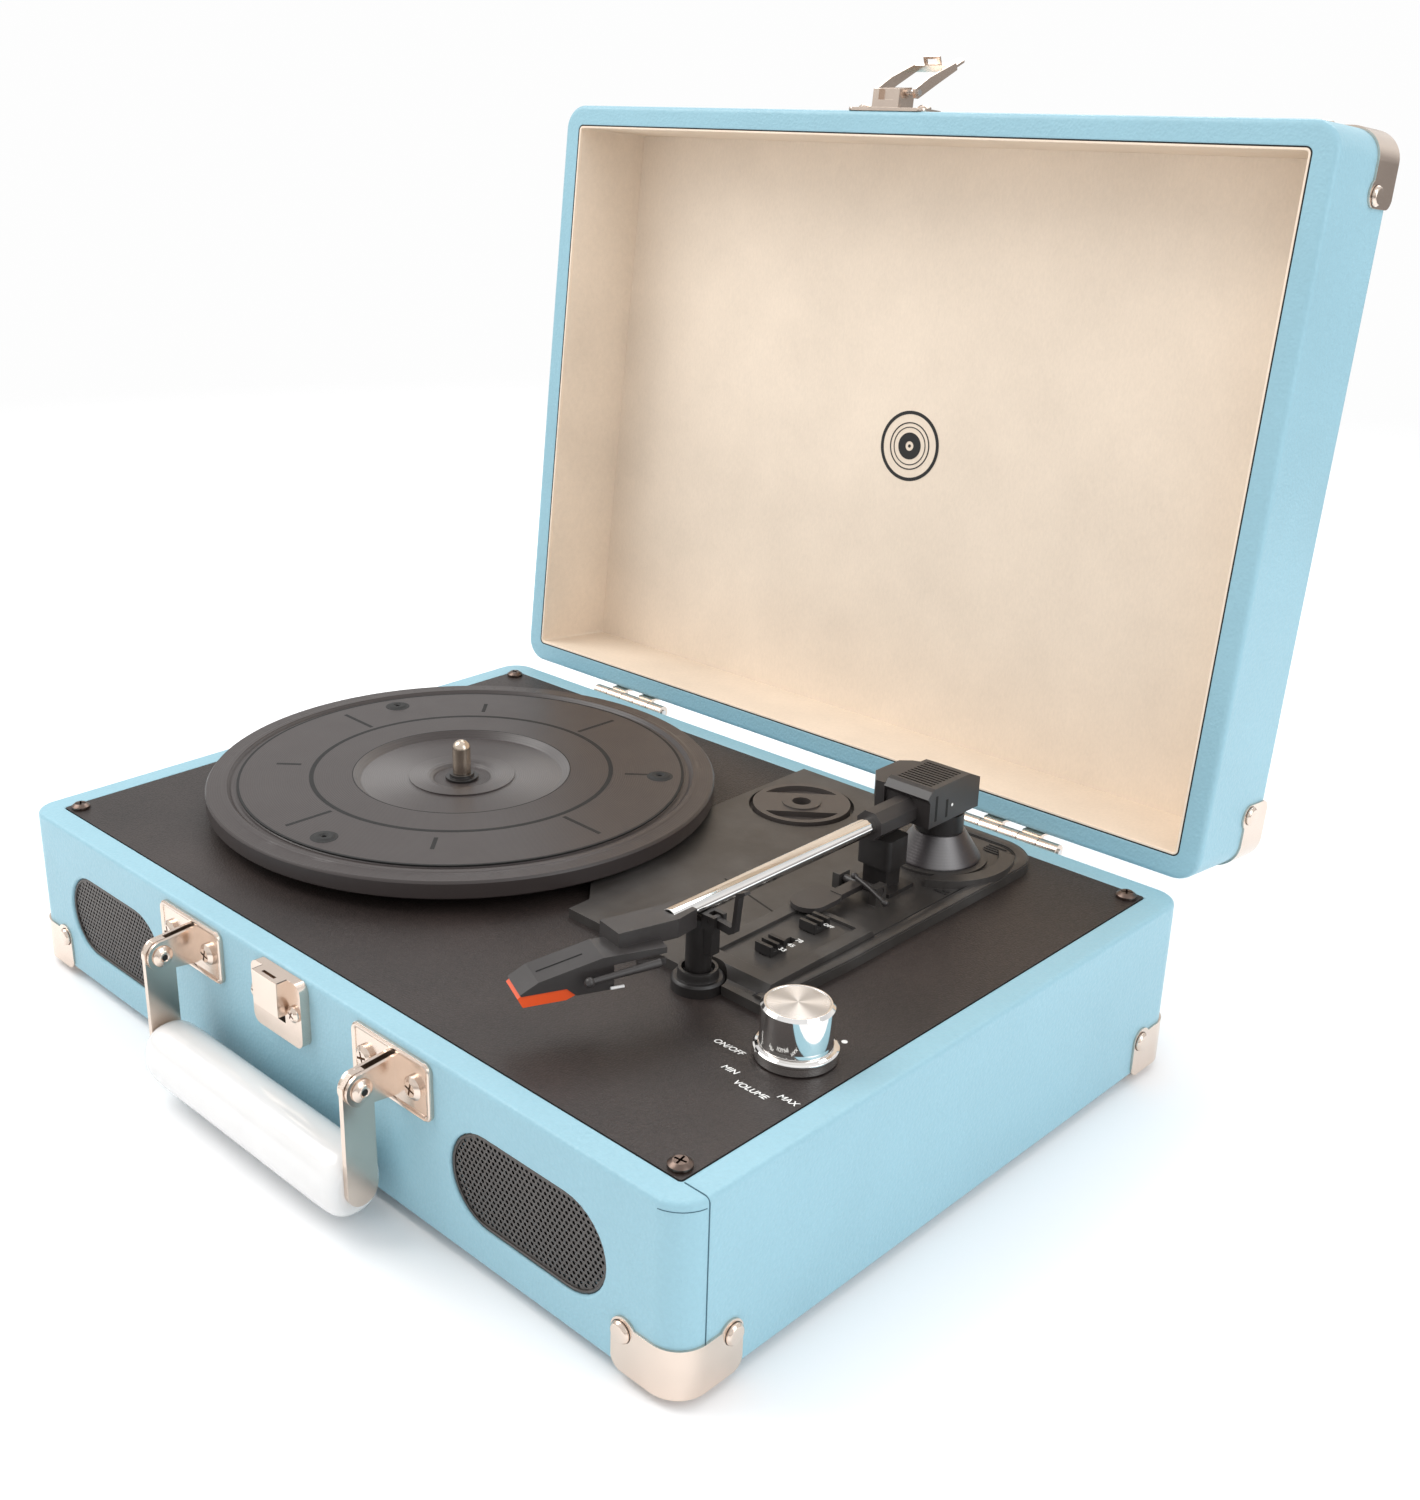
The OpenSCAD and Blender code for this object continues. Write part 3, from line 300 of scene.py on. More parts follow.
class Paint:
    """A Principled material with short ways to add noise, cells, ramps and bump."""

    def __init__(self, name, color, rough, **extra):
        self.mat = bpy.data.materials.new(name)
        self.mat.use_nodes = True
        self.tree = self.mat.node_tree
        self.bsdf = self.tree.nodes["Principled BSDF"]
        self.bsdf.inputs["Base Color"].default_value = (*color, 1)
        self.bsdf.inputs["Roughness"].default_value = rough
        for key, value in extra.items():
            self.bsdf.inputs[key.replace("_", " ")].default_value = value
        self.place = self.tree.nodes.new("ShaderNodeTexCoord").outputs["Object"]

    def put(self, socket, value):
        if isinstance(value, bpy.types.NodeSocket):
            self.tree.links.new(value, socket)
        elif socket.type == "RGBA" and len(value) == 3:
            socket.default_value = (*value, 1)
        else:
            socket.default_value = value

    def calc(self, operation, a, b=0.0):
        node = self.tree.nodes.new("ShaderNodeMath")
        node.operation = operation
        self.put(node.inputs[0], a)
        self.put(node.inputs[1], b)
        return node.outputs[0]

    def vector(self, operation, a, b):
        node = self.tree.nodes.new("ShaderNodeVectorMath")
        node.operation = operation
        self.put(node.inputs[0], a)
        self.put(node.inputs[1], b)
        return node.outputs[0]

    def split(self, vector=None):
        node = self.tree.nodes.new("ShaderNodeSeparateXYZ")
        self.put(node.inputs[0], vector or self.place)
        return node.outputs

    def noise(self, size_mm, detail=3.0, rough=0.5, vector=None):
        node = self.tree.nodes.new("ShaderNodeTexNoise")
        node.inputs["Scale"].default_value = 1000 / size_mm
        node.inputs["Detail"].default_value = detail
        node.inputs["Roughness"].default_value = rough
        self.put(node.inputs["Vector"], vector or self.place)
        return node.outputs["Fac"]

    def cells(self, size_mm, vector=None, feature="F1"):
        node = self.tree.nodes.new("ShaderNodeTexVoronoi")
        node.feature = feature
        node.inputs["Scale"].default_value = 1000 / size_mm
        self.put(node.inputs["Vector"], vector or self.place)
        return node.outputs["Distance"]

    def warped(self, size_mm, amount_mm):
        """The object's place, pushed about by noise."""
        node = self.tree.nodes.new("ShaderNodeTexNoise")
        node.inputs["Scale"].default_value = 1000 / size_mm
        self.put(node.inputs["Vector"], self.place)
        push = self.vector("SUBTRACT", node.outputs["Color"], (0.5, 0.5, 0.5))
        push = self.vector("MULTIPLY", push, (amount_mm * MM,) * 3)
        return self.vector("ADD", self.place, push)

    def ramp(self, factor, *stops):
        node = self.tree.nodes.new("ShaderNodeValToRGB")
        elements = node.color_ramp.elements
        while len(elements) < len(stops):
            elements.new(0.5)
        for element, (position, color) in zip(elements, stops):
            element.position = position
            element.color = (*color, 1) if len(color) == 3 else color
        self.put(node.inputs[0], factor)
        return node.outputs[0]

    def blend(self, factor, a, b):
        node = self.tree.nodes.new("ShaderNodeMix")
        node.data_type = "RGBA"
        self.put(node.inputs[0], factor)
        self.put(node.inputs[6], a)
        self.put(node.inputs[7], b)
        return node.outputs[2]

    def color(self, socket):
        self.put(self.bsdf.inputs["Base Color"], socket)
        return self

    def rough(self, factor, low, high):
        node = self.tree.nodes.new("ShaderNodeMapRange")
        self.put(node.inputs[0], factor)
        node.inputs[3].default_value = low
        node.inputs[4].default_value = high
        self.put(self.bsdf.inputs["Roughness"], node.outputs[0])
        return self

    def bump(self, height, depth_mm, strength=1.0):
        node = self.tree.nodes.new("ShaderNodeBump")
        node.inputs["Distance"].default_value = depth_mm * MM
        node.inputs["Strength"].default_value = strength
        self.put(node.inputs["Height"], height)
        previous = self.bsdf.inputs["Normal"]
        if previous.is_linked:
            self.put(node.inputs["Normal"], previous.links[0].from_socket)
        self.put(previous, node.outputs[0])
        return self

    def fade(self, near, far):
        """Lets the surface dissolve between two distances from the origin, in metres."""
        x, y, _ = self.split()
        reach = self.calc("SQRT", self.calc("ADD", self.calc("MULTIPLY", x, x),
                                            self.calc("MULTIPLY", y, y)))
        span = self.tree.nodes.new("ShaderNodeMapRange")
        span.interpolation_type = "SMOOTHSTEP"
        self.put(span.inputs[0], reach)
        span.inputs[1].default_value = near
        span.inputs[2].default_value = far
        clear = self.tree.nodes.new("ShaderNodeBsdfTransparent")
        mix = self.tree.nodes.new("ShaderNodeMixShader")
        self.put(mix.inputs[0], span.outputs[0])
        self.tree.links.new(self.bsdf.outputs[0], mix.inputs[1])
        self.tree.links.new(clear.outputs[0], mix.inputs[2])
        output = next(n for n in self.tree.nodes if n.type == "OUTPUT_MATERIAL")
        self.tree.links.new(mix.outputs[0], output.inputs[0])
        return self


def leathercloth(name, color, rough, grain_mm, depth_mm, mottling=0.05):
    """Coated cloth with a pebbled leather grain, slightly uneven in tone."""
    p = Paint(name, color, rough, Specular_IOR_Level=0.42)
    pebbles = p.cells(grain_mm, p.warped(grain_mm * 3, grain_mm * 0.9))
    fine = p.noise(grain_mm * 0.45, 3)
    height = p.calc("ADD", p.calc("MULTIPLY", pebbles, 0.8), p.calc("MULTIPLY", fine, 0.35))
    p.bump(height, depth_mm, 0.7)
    dark = tuple(c * (1 - mottling) for c in color)
    light = tuple(min(1, c * (1 + mottling)) for c in color)
    tone = p.calc("ADD", p.calc("MULTIPLY", p.noise(60, 2), 0.6),
                  p.calc("MULTIPLY", p.noise(1.6, 4), 0.4))
    p.color(p.ramp(tone, (0.3, dark), (0.7, light)))
    p.rough(pebbles, rough - 0.06, rough + 0.1)
    return p.mat


def plated(name, color, rough, grain_mm=0.5, wear=0.12):
    """Plated sheet metal: faint polishing marks, a little waviness and patchy gloss."""
    p = Paint(name, color, rough, Metallic=1.0)
    lines = p.noise(grain_mm, 5, 0.6, p.vector("MULTIPLY", p.place, (1, 1, 0.12)))
    patches = p.noise(14, 3)
    p.rough(p.calc("ADD", p.calc("MULTIPLY", lines, 0.5), p.calc("MULTIPLY", patches, 0.5)),
            max(0.02, rough - 0.05), rough + wear)
    p.bump(p.noise(9, 2), 0.05, 0.25)
    p.bump(lines, 0.004, 0.5)
    dark = tuple(c * 0.9 for c in color)
    p.color(p.ramp(patches, (0.25, dark), (0.75, color)))
    return p.mat


def moulded(name, color, rough, grain_mm=0.35, depth_mm=0.03, haze=0.02, spec=0.5):
    """Moulded plastic with an eroded fine texture, faint haze and small scuffs."""
    p = Paint(name, color, rough, Specular_IOR_Level=spec)
    grain = p.noise(grain_mm, 4, 0.6)
    p.bump(grain, depth_mm, 0.6)
    scuffs = p.noise(26, 5, 0.65)
    lighter = tuple(c + haze for c in color)
    p.color(p.ramp(scuffs, (0.42, color), (0.72, lighter)))
    p.rough(p.calc("ADD", p.calc("MULTIPLY", grain, 0.5), p.calc("MULTIPLY", scuffs, 0.5)),
            rough - 0.1, rough + 0.1)
    return p.mat


def turned(name, color, rough, centre, pitch_mm=0.7, depth_mm=0.03, metal=0.0, painted_glint=0.0,
           lobes=2.0, phase=0.0, zone=None):
    """A lathe-turned or spun surface: fine rings about a vertical axis, and radial highlights painted
    into the base colour.

    zone keeps the painted highlights between two radii in mm.
    """
    p = Paint(name, color, rough, Metallic=metal)
    local = p.vector("SUBTRACT", p.place, tuple(c * MM for c in centre))
    x, y, _ = p.split(local)
    radius = p.calc("SQRT", p.calc("ADD", p.calc("MULTIPLY", x, x), p.calc("MULTIPLY", y, y)))
    rings = p.calc("SINE", p.calc("MULTIPLY", radius, 2 * math.pi / (pitch_mm * MM)))
    p.bump(rings, depth_mm, 0.5)
    p.bump(p.noise(0.4, 3), 0.01, 0.5)
    uneven = p.noise(18, 4)
    # Painted highlight: the base colour is lifted in bright radial lobes, standing in for glints of
    # light on the turned surface.
    if painted_glint:
        angle = p.calc("ARCTAN2", y, x)
        wave = p.calc("ADD", p.calc("MULTIPLY", angle, lobes), phase)
        fan = p.calc("ABSOLUTE", p.calc("SINE", wave))
        tone = p.calc("POWER", fan, 3.0)
        if zone:
            inside = p.calc("MULTIPLY", p.calc("GREATER_THAN", radius, zone[0] * MM),
                            p.calc("LESS_THAN", radius, zone[1] * MM))
            tone = p.calc("MULTIPLY", tone, inside)
        p.color(p.blend(tone, color, tuple(min(1, c + painted_glint) for c in color)))
    else:
        p.color(p.ramp(uneven, (0.4, color), (0.75, tuple(c * 1.35 for c in color))))
    p.rough(p.calc("ADD", p.calc("MULTIPLY", uneven, 0.7), p.calc("MULTIPLY", rings, 0.15)),
            rough - 0.05, rough + 0.12)
    return p.mat


def paper(name, color):
    """Lining paper: short fibres, faint blotches and a soft laid texture."""
    p = Paint(name, color, 0.85, Specular_IOR_Level=0.2)
    fibres = p.noise(0.9, 6, 0.7, p.vector("MULTIPLY", p.place, (1, 0.45, 0.45)))
    blotches = p.noise(45, 4, 0.6)
    tone = p.calc("ADD", p.calc("MULTIPLY", fibres, 0.45), p.calc("MULTIPLY", blotches, 0.55))
    dark = tuple(c * 0.88 for c in color)
    light = tuple(min(1, c * 1.05) for c in color)
    p.color(p.ramp(tone, (0.3, dark), (0.7, light)))
    p.bump(fibres, 0.08, 0.6)
    return p.mat


def glossy(name, color, rough, coat=0.4):
    """Glossy moulded plastic with slight flow marks."""
    p = Paint(name, color, rough, Coat_Weight=coat, Coat_Roughness=0.08, IOR=1.5)
    flow = p.noise(22, 3)
    p.bump(flow, 0.12, 0.35)
    p.bump(p.noise(0.5, 2), 0.006, 0.5)
    p.color(p.ramp(flow, (0.3, tuple(c * 0.96 for c in color)), (0.7, color)))
    p.rough(p.noise(6, 4), rough, rough + 0.12)
    return p.mat


def timber(name, color, ring_mm):
    """Raw wood or fibreboard with darker streaks."""
    p = Paint(name, color, 0.8, Specular_IOR_Level=0.2)
    grain = p.noise(ring_mm, 5, 0.6, p.vector("MULTIPLY", p.place, (1, 1, 0.08)))
    p.color(p.ramp(grain, (0.3, tuple(c * 0.6 for c in color)), (0.7, color)))
    p.bump(grain, 0.15, 0.6)
    return p.mat


def printed(name, color):
    """Screen-printed ink: nearly even, with a ragged thin film."""
    p = Paint(name, color, 0.5)
    film = p.noise(0.5, 4)
    p.color(p.ramp(film, (0.3, tuple(c * 0.86 for c in color)), (0.6, color)))
    p.bump(film, 0.01, 0.5)
    return p.mat


PLATTER_AT = [c / MM for c in joint("platter_spin")["pos_m"]]
KNOB_AT = [c / MM for c in joint("volume_turn")["pos_m"]]
ARM_AT = [c / MM for c in joint("tonearm_swing")["pos_m"]]
BLUE = (0.275, 0.475, 0.56)

PAINT = {
    "blue_vinyl": leathercloth("blue_vinyl", BLUE, 0.38, 1.2, 0.19),
    "cream_paper": paper("cream_paper", (0.795, 0.68, 0.56)),
    "paper_fold": paper("paper_fold", (0.84, 0.70, 0.57)),
    "fibreboard": timber("fibreboard", (0.2, 0.12, 0.06), 1.2),
    "pine": timber("pine", (0.5, 0.33, 0.16), 2.5),
    "black_deck": leathercloth("black_deck", (0.026, 0.019, 0.017), 0.43, 0.8, 0.15, 0.5),
    "black_rubber": moulded("black_rubber", (0.012, 0.012, 0.012), 0.7, 0.25, 0.03, 0.012),
    "black_steel": plated("black_steel", (0.14, 0.11, 0.105), 0.3),
    "black_mesh": plated("black_mesh", (0.125, 0.115, 0.11), 0.42),
    "speaker_black": moulded("speaker_black", (0.006, 0.006, 0.006), 0.8, 0.5, 0.05, 0.004),
    "nickel": plated("nickel", (0.79, 0.665, 0.575), 0.19),
    "chrome": plated("chrome", (0.93, 0.91, 0.89), 0.06, 0.5, 0.05),
    "steel": plated("steel", (0.7, 0.69, 0.68), 0.25),
    "bronze": plated("bronze", (0.62, 0.45, 0.28), 0.28),
    "black_plastic": moulded("black_plastic", (0.015, 0.013, 0.0125), 0.36, 0.3, 0.03, 0.012),
    "plinth_panel": moulded("plinth_panel", (0.034, 0.030, 0.0275), 0.35, 0.3, 0.02, 0.03),
    # The platter's colour carries a painted highlight: bright radial lobes in the dish, between radii
    # 11.5 and 43 mm.
    "platter_black": turned("platter_black", (0.040, 0.0315, 0.030), 0.37, PLATTER_AT, 0.9, 0.03, 0.0,
                            0.09, 1.0, 0.77, (11.5, 43)),
    "adapter_black": moulded("adapter_black", (0.062, 0.052, 0.047), 0.38, 0.3, 0.02, 0.015),
    "shell_grey": moulded("shell_grey", (0.031, 0.027, 0.0262), 0.36, 0.3, 0.02, 0.012),
    # The tonearm cone: satin plastic whose colour carries a painted sheen, bright radial lobes lifted
    # into the base colour.
    "cone_satin_painted_sheen": turned("cone_satin_painted_sheen", (0.05, 0.043, 0.045), 0.34, ARM_AT, 0.6, 0.015, 0.35, 0.16),
    "screw_brown": plated("screw_brown", (0.17, 0.125, 0.105), 0.3),
    "shaft_metal": plated("shaft_metal", (0.66, 0.56, 0.46), 0.2),
    "white_plastic": glossy("white_plastic", (0.74, 0.735, 0.73), 0.16),
    "red_plastic": glossy("red_plastic", (0.75, 0.085, 0.015), 0.3, 0.2),
    "green_board": moulded("green_board", (0.02, 0.12, 0.05), 0.4),
    # The knob top's spun metal carries painted highlights: bright radial lobes lifted into its colour.
    "spun_metal": turned("spun_metal", (0.50, 0.48, 0.465), 0.28, KNOB_AT, 0.35, 0.01, 1.0, 0.35),
    "white_ink": printed("white_ink", (0.86, 0.86, 0.84)),
    "black_ink": printed("black_ink", (0.012, 0.012, 0.012)),
    # The pieces built below use deep_black as painted shade in grooves, slots, gaps, holes and under
    # rivet heads.
    "deep_black": moulded("deep_black", (0.004, 0.004, 0.004), 0.7, 0.4, 0.02, 0.002),
    "seam_shadow": moulded("seam_shadow", (0.05, 0.12, 0.16), 0.8, 0.4, 0.02, 0.03),
}


# ---------- CAD nodes that stay ----------

EDGE_MM = {
    "base_corner_guards": 0.3, "lid_corner_guards": 0.3, "handle_brackets": 0.3, "handle_arms": 0.35,
    "latch_keeper": 0.35, "latch_base": 0.3, "latch_hasp": 0.25, "platter": 0.3, "plinth": 0.6,
    "pivot_block": 0.5, "headshell": 0.45, "arm_yoke": 0.3, "cue_lever": 0.5, "cue_platform": 0.4,
    "cue_lift_post": 0.4, "arm_rest_post": 0.3, "adapter_45": 0.35, "rubber_feet": 0.6,
    "hinge_base_leaves": 0.25, "hinge_lid_leaves": 0.25, "lid_lining": 0.4, "deck_panel": 0.3,
    "stylus": 0.3, "socket_plate": 0.4,
}


NODE_PAINT = {"tonearm_base": "cone_satin_painted_sheen", "headshell": "shell_grey", "pivot_block": "shell_grey",
              "plinth": "plinth_panel", "finger_lift": "shell_grey", "cue_lever": "shell_grey",
              "deck_screws": "screw_brown", "spindle": "shaft_metal"}


def finish_cad_nodes():
    """Gives every CAD node its slot's material and slightly rounded edges."""
    for name, obj in NODES.items():
        for holder in obj.material_slots:
            holder.material = PAINT[NODE_PAINT.get(name, holder.material.name.split(".")[0])]
        weld = obj.modifiers.new("weld", "WELD")
        weld.merge_threshold = 2e-6
        round_edges(obj, EDGE_MM.get(name, 0.2))
        weigh_normals(obj)


# ---------- case and lid ----------

def wrapped_loops(w, d, corner, profile):
    """Round-cornered loops following (inset, height) points."""
    return [[(x, y, z) for x, y in round_rect(w - 2 * inset, d - 2 * inset,
                                              max(1.0, corner - 0.9 * inset))]
            for inset, z in profile]


def stadium(w, h, steps=16):
    """A slot outline with round ends, lying along X."""
    points = []
    for side in (1, -1):
        for i in range(steps + 1):
            a = math.radians(-90 + 180 * i / steps)
            points.append((side * (w - h) / 2 + side * h / 2 * math.cos(a),
                           side * h / 2 * math.sin(a)))
    return points


CORNER_R = 10.0          # upright corners of case and lid, in plan
DECK_GAP = 0.4           # between the deck and the case's two side walls
GRILLE_GAP = 0.2         # between a grille and the vinyl's edge round it
SOCKET_WINDOW = (64, 24, 1)      # width, height and corner of the opening in the back wall


def build_case():
    """The wrapped case walls, with rolled edges round the loudspeaker openings."""
    low, high = box_mm("base_case")
    deck_low, deck_high = box_mm("deck_panel")
    wall = (high.x - low.x - (deck_high.x - deck_low.x) - DECK_GAP) / 2
    profile = rounded([(0, low.z, 1.2), (0, high.z, 1.9), (wall, high.z, 0.9), (wall, low.z, 0.3)],
                      closed=True, steps=6)
    loops = wrapped_loops(high.x - low.x, high.y - low.y, CORNER_R, profile)
    obj = piece("case_wrap", loft(loops, closed=True), "blue_vinyl", "case", replaces=["base_case"])
    cutters = []
    for grille_low, grille_high in islands("speaker_grilles"):
        w = grille_high.x - grille_low.x + 2 * GRILLE_GAP
        h = grille_high.z - grille_low.z + 2 * GRILLE_GAP
        centre = (grille_low + grille_high) / 2
        seat = grille_high.y - low.y + 0.2
        mouth = [(1.6, -1.0), (1.0, 0.0), (0.45, 0.18), (0.15, 0.5), (0, 1.0), (0, seat), (-2.5, seat),
                 (-2.5, wall + 2)]
        rings = [[(centre.x + x, low.y + depth, centre.z + z)
                  for x, z in stadium(w + 2 * grow, h + 2 * grow)] for grow, depth in mouth]
        cutters.append(loft(rings))
    plate_low, plate_high = box_mm("socket_plate")
    centre = (plate_low + plate_high) / 2
    window = [(centre.x + x, centre.z + z) for x, z in round_rect(*SOCKET_WINDOW)]
    cutters.append(loft([[(x, y, z) for x, z in window] for y in (high.y - wall - 1, high.y + 1)]))
    carve(obj, cutters)


def build_lid():
    """The wrapped lid shell, its lining's folded edge and the printed emblem."""
    low, high = box_mm("lid_shell", LID)
    lining_low, lining_high = box_mm("lid_lining", LID)
    wall = lining_low.x - low.x - 0.05
    profile = rounded([(wall, high.z - 3, 0), (wall, low.z, 0.8), (0, low.z, 2.2), (0, high.z, 3.2),
                       (24, high.z, 0)], steps=6)
    loops = wrapped_loops(high.x - low.x, high.y - low.y, CORNER_R, profile)
    piece("lid_wrap", loft(loops), "blue_vinyl", "lid", LID, ["lid_shell"])
    # The deep_black strip is painted shade where the lining's paper lifts from the wall.
    for name, start, end, z, paint in (("lining_fold", 0.25, 1.1, 0.1, "paper_fold"),
                                       ("lining_gap_shade", -0.25, 0.3, 0.04, "deep_black")):
        rim = rounded([(wall + start, low.z + z, 0.15), (wall + end, low.z + z, 0.3),
                       (wall + end, low.z + 1.6, 0.1), (wall + start, low.z + 1.6, 0.1)],
                      closed=True, steps=3)
        loops = wrapped_loops(high.x - low.x, high.y - low.y, CORNER_R, rim)
        piece(name, loft(loops, closed=True), paint, "lid", LID)
    build_emblem(lining_high.z)


def ring(r_in, r_out, z0, z1, sides=72):
    return lathe([(r_in, z0), (r_out, z0), (r_out, z1), (r_in, z1)], sides, closed=True)


def build_emblem(paper_top):
    """A plain disc-record emblem printed in the middle of the lid's lining."""
    face = paper_top - 1.02
    film = (face - 0.12, face)
    disc = [ring(13.2, 14.6, *film), ring(9.4, 9.9, *film), ring(7.6, 8.0, *film),
            ring(2.0, 5.6, *film), ring(0.01, 0.7, *film)]
    piece("lid_emblem", moved(merged(*disc), shift(3, 0, 0)), "black_ink", "lid", LID, shade=False)


def build_grilles():
    """Perforated sheet with staggered round holes, in front of black speaker cloth."""
    curve = bpy.data.curves.new("sheet", "CURVE")
    curve.dimensions = "2D"
    curve.fill_mode = "BOTH"
    curve.extrude = 0.25 * MM

    def outline(points):
        spline = curve.splines.new("POLY")
        spline.points.add(len(points) - 1)
        for point, (x, y) in zip(spline.points, points):
            point.co = (x * MM, y * MM, 0, 1)
        spline.use_cyclic_u = True

    boxes = islands("speaker_grilles")
    low, high = boxes[0]
    w, h = high.x - low.x, high.z - low.z
    outline(stadium(w, h))
    pitch, hole, margin, stagger = 1.95, 0.62, 1.3, 0.866
    rows, columns = int(h / (pitch * stagger) / 2) + 1, 20
    for row in range(-rows, rows + 1):
        z = row * pitch * stagger
        for column in range(-columns, columns + 1):
            x = (column + 0.5 * (row % 2)) * pitch
            if math.hypot(max(0, abs(x) - (w - h) / 2), z) < h / 2 - margin:
                outline([(x + hole * math.cos(a), z + hole * math.sin(a))
                         for a in [math.pi / 4 * k for k in range(8)]])
    flat = bpy.data.objects.new("sheet", curve)
    SCENE.collection.objects.link(flat)
    bpy.context.view_layer.update()
    mesh = bpy.data.meshes.new_from_object(
        flat.evaluated_get(bpy.context.evaluated_depsgraph_get()))
    bpy.data.objects.remove(flat)
    verts = [(v.co.x / MM, -v.co.z / MM, v.co.y / MM) for v in mesh.vertices]
    faces = [tuple(p.vertices) for p in mesh.polygons]
    sheets, cloths = [], []
    for low, high in boxes:
        centre = (low + high) / 2
        sheets.append(moved((verts, faces), shift(centre.x, low.y + 0.3, centre.z)))
        section = [(0, 0.5), (0, -0.35), (0.25, -0.5), (0.8, -0.5), (1.0, -0.3), (1.0, 0.5)]
        rim = [[(centre.x + x, low.y + y, centre.z + z)
                for x, z in stadium(w - 2 * inset, h - 2 * inset)] for inset, y in section]
        sheets.append(loft(rim, closed=True))
        cloths.append(loft([[(centre.x + x, y, centre.z + z) for x, z in stadium(w - 5.4, h - 5.4)]
                            for y in (low.y + 1.6, low.y + 2.2)]))
    piece("perforated_grilles", merged(*sheets), "black_mesh", "case", replaces=["speaker_grilles"],
          shade=False)
    piece("speaker_cloths", merged(*cloths), "speaker_black", "case")


def build_seams():
    """Where the vinyl's ends meet on the case's right side, and its fold at the front corner."""
    low, high = box_mm("base_case")
    seam_y, seam_end, r, lift = -119.0, 14.5, 1.9, 0.02
    top, right = high.z + lift, high.x + lift
    path = [(box_mm("deck_panel")[1].x + 1.2, seam_y, top), (high.x - r, seam_y, top)]
    for k in range(1, 6):
        a = math.radians(90 - 90 * k / 6)
        path.append((high.x - r + (r + lift) * math.cos(a), seam_y,
                     high.z - r + (r + lift) * math.sin(a)))
    path += [(right, seam_y, high.z - r), (right, seam_y, seam_end)]
    piece("case_seam", tube(path, 0.22, 8), "seam_shadow", "case", shade=False)
    fold = []
    reach = CORNER_R + lift
    for k in range(13):
        a = math.radians(-84 + 6.7 * k)
        sag = 2.4 + 0.06 * (k - 6) ** 2 / 6
        fold.append((high.x - CORNER_R + reach * math.cos(a),
                     low.y + CORNER_R + reach * math.sin(a), high.z - sag))
    piece("case_fold", tube(fold, 0.14, 8), "seam_shadow", "case", shade=False)


# ---------- rivets and screws ----------

def dome(r, h, flat=0.62):
    """Profile of a low rivet or screw head with a soft crown."""
    return rounded([(0, 0), (r, 0, 0.05), (r, h * 0.38, h * 0.25), (r * flat, h * 0.96, r * 0.25),
                    (0, h)], steps=5)


def facing(direction):
    """Turns a part drawn upwards so that it faces along a direction."""
    return Vector((0, 0, 1)).rotation_difference(Vector(direction)).to_matrix().to_4x4()


def build_rivets():
    """Flat-crowned rivets on the corner guards, each over a black ring painted as the shade under its
    head.
    """
    for node, body, place in (("base_guard_rivets", "case", None), ("lid_guard_rivets", "lid", LID)):
        heads, seats = [], []
        for low, high in islands(node, place):
            size = high - low
            axis = min(range(3), key=lambda i: size[i])
            centre = (low + high) / 2
            side = 1 if centre[axis] > 0 else -1
            direction = [0, 0, 0]
            direction[axis] = side
            seat = centre.copy()
            seat[axis] = low[axis] if side > 0 else high[axis]
            radius = max(size) / 2
            at = shift(*seat) @ facing(direction)
            heads.append(moved(lathe(dome(radius - 0.15, min(size) * 0.98, 0.8), 40), at))
            # A black ring painted as the shade under the rivet's head.
            shade_ring = rounded([(0, -0.1), (radius, -0.1), (radius, 0.1, 0.05), (0, 0.12)])
            seats.append(moved(lathe(shade_ring, 40), at))
        piece(body + "_rivet_heads", merged(*heads), "nickel", body, place, [node])
        piece(body + "_rivet_seat_shade", merged(*seats), "deep_black", body, place, shade=False)


# ---------- handle ----------

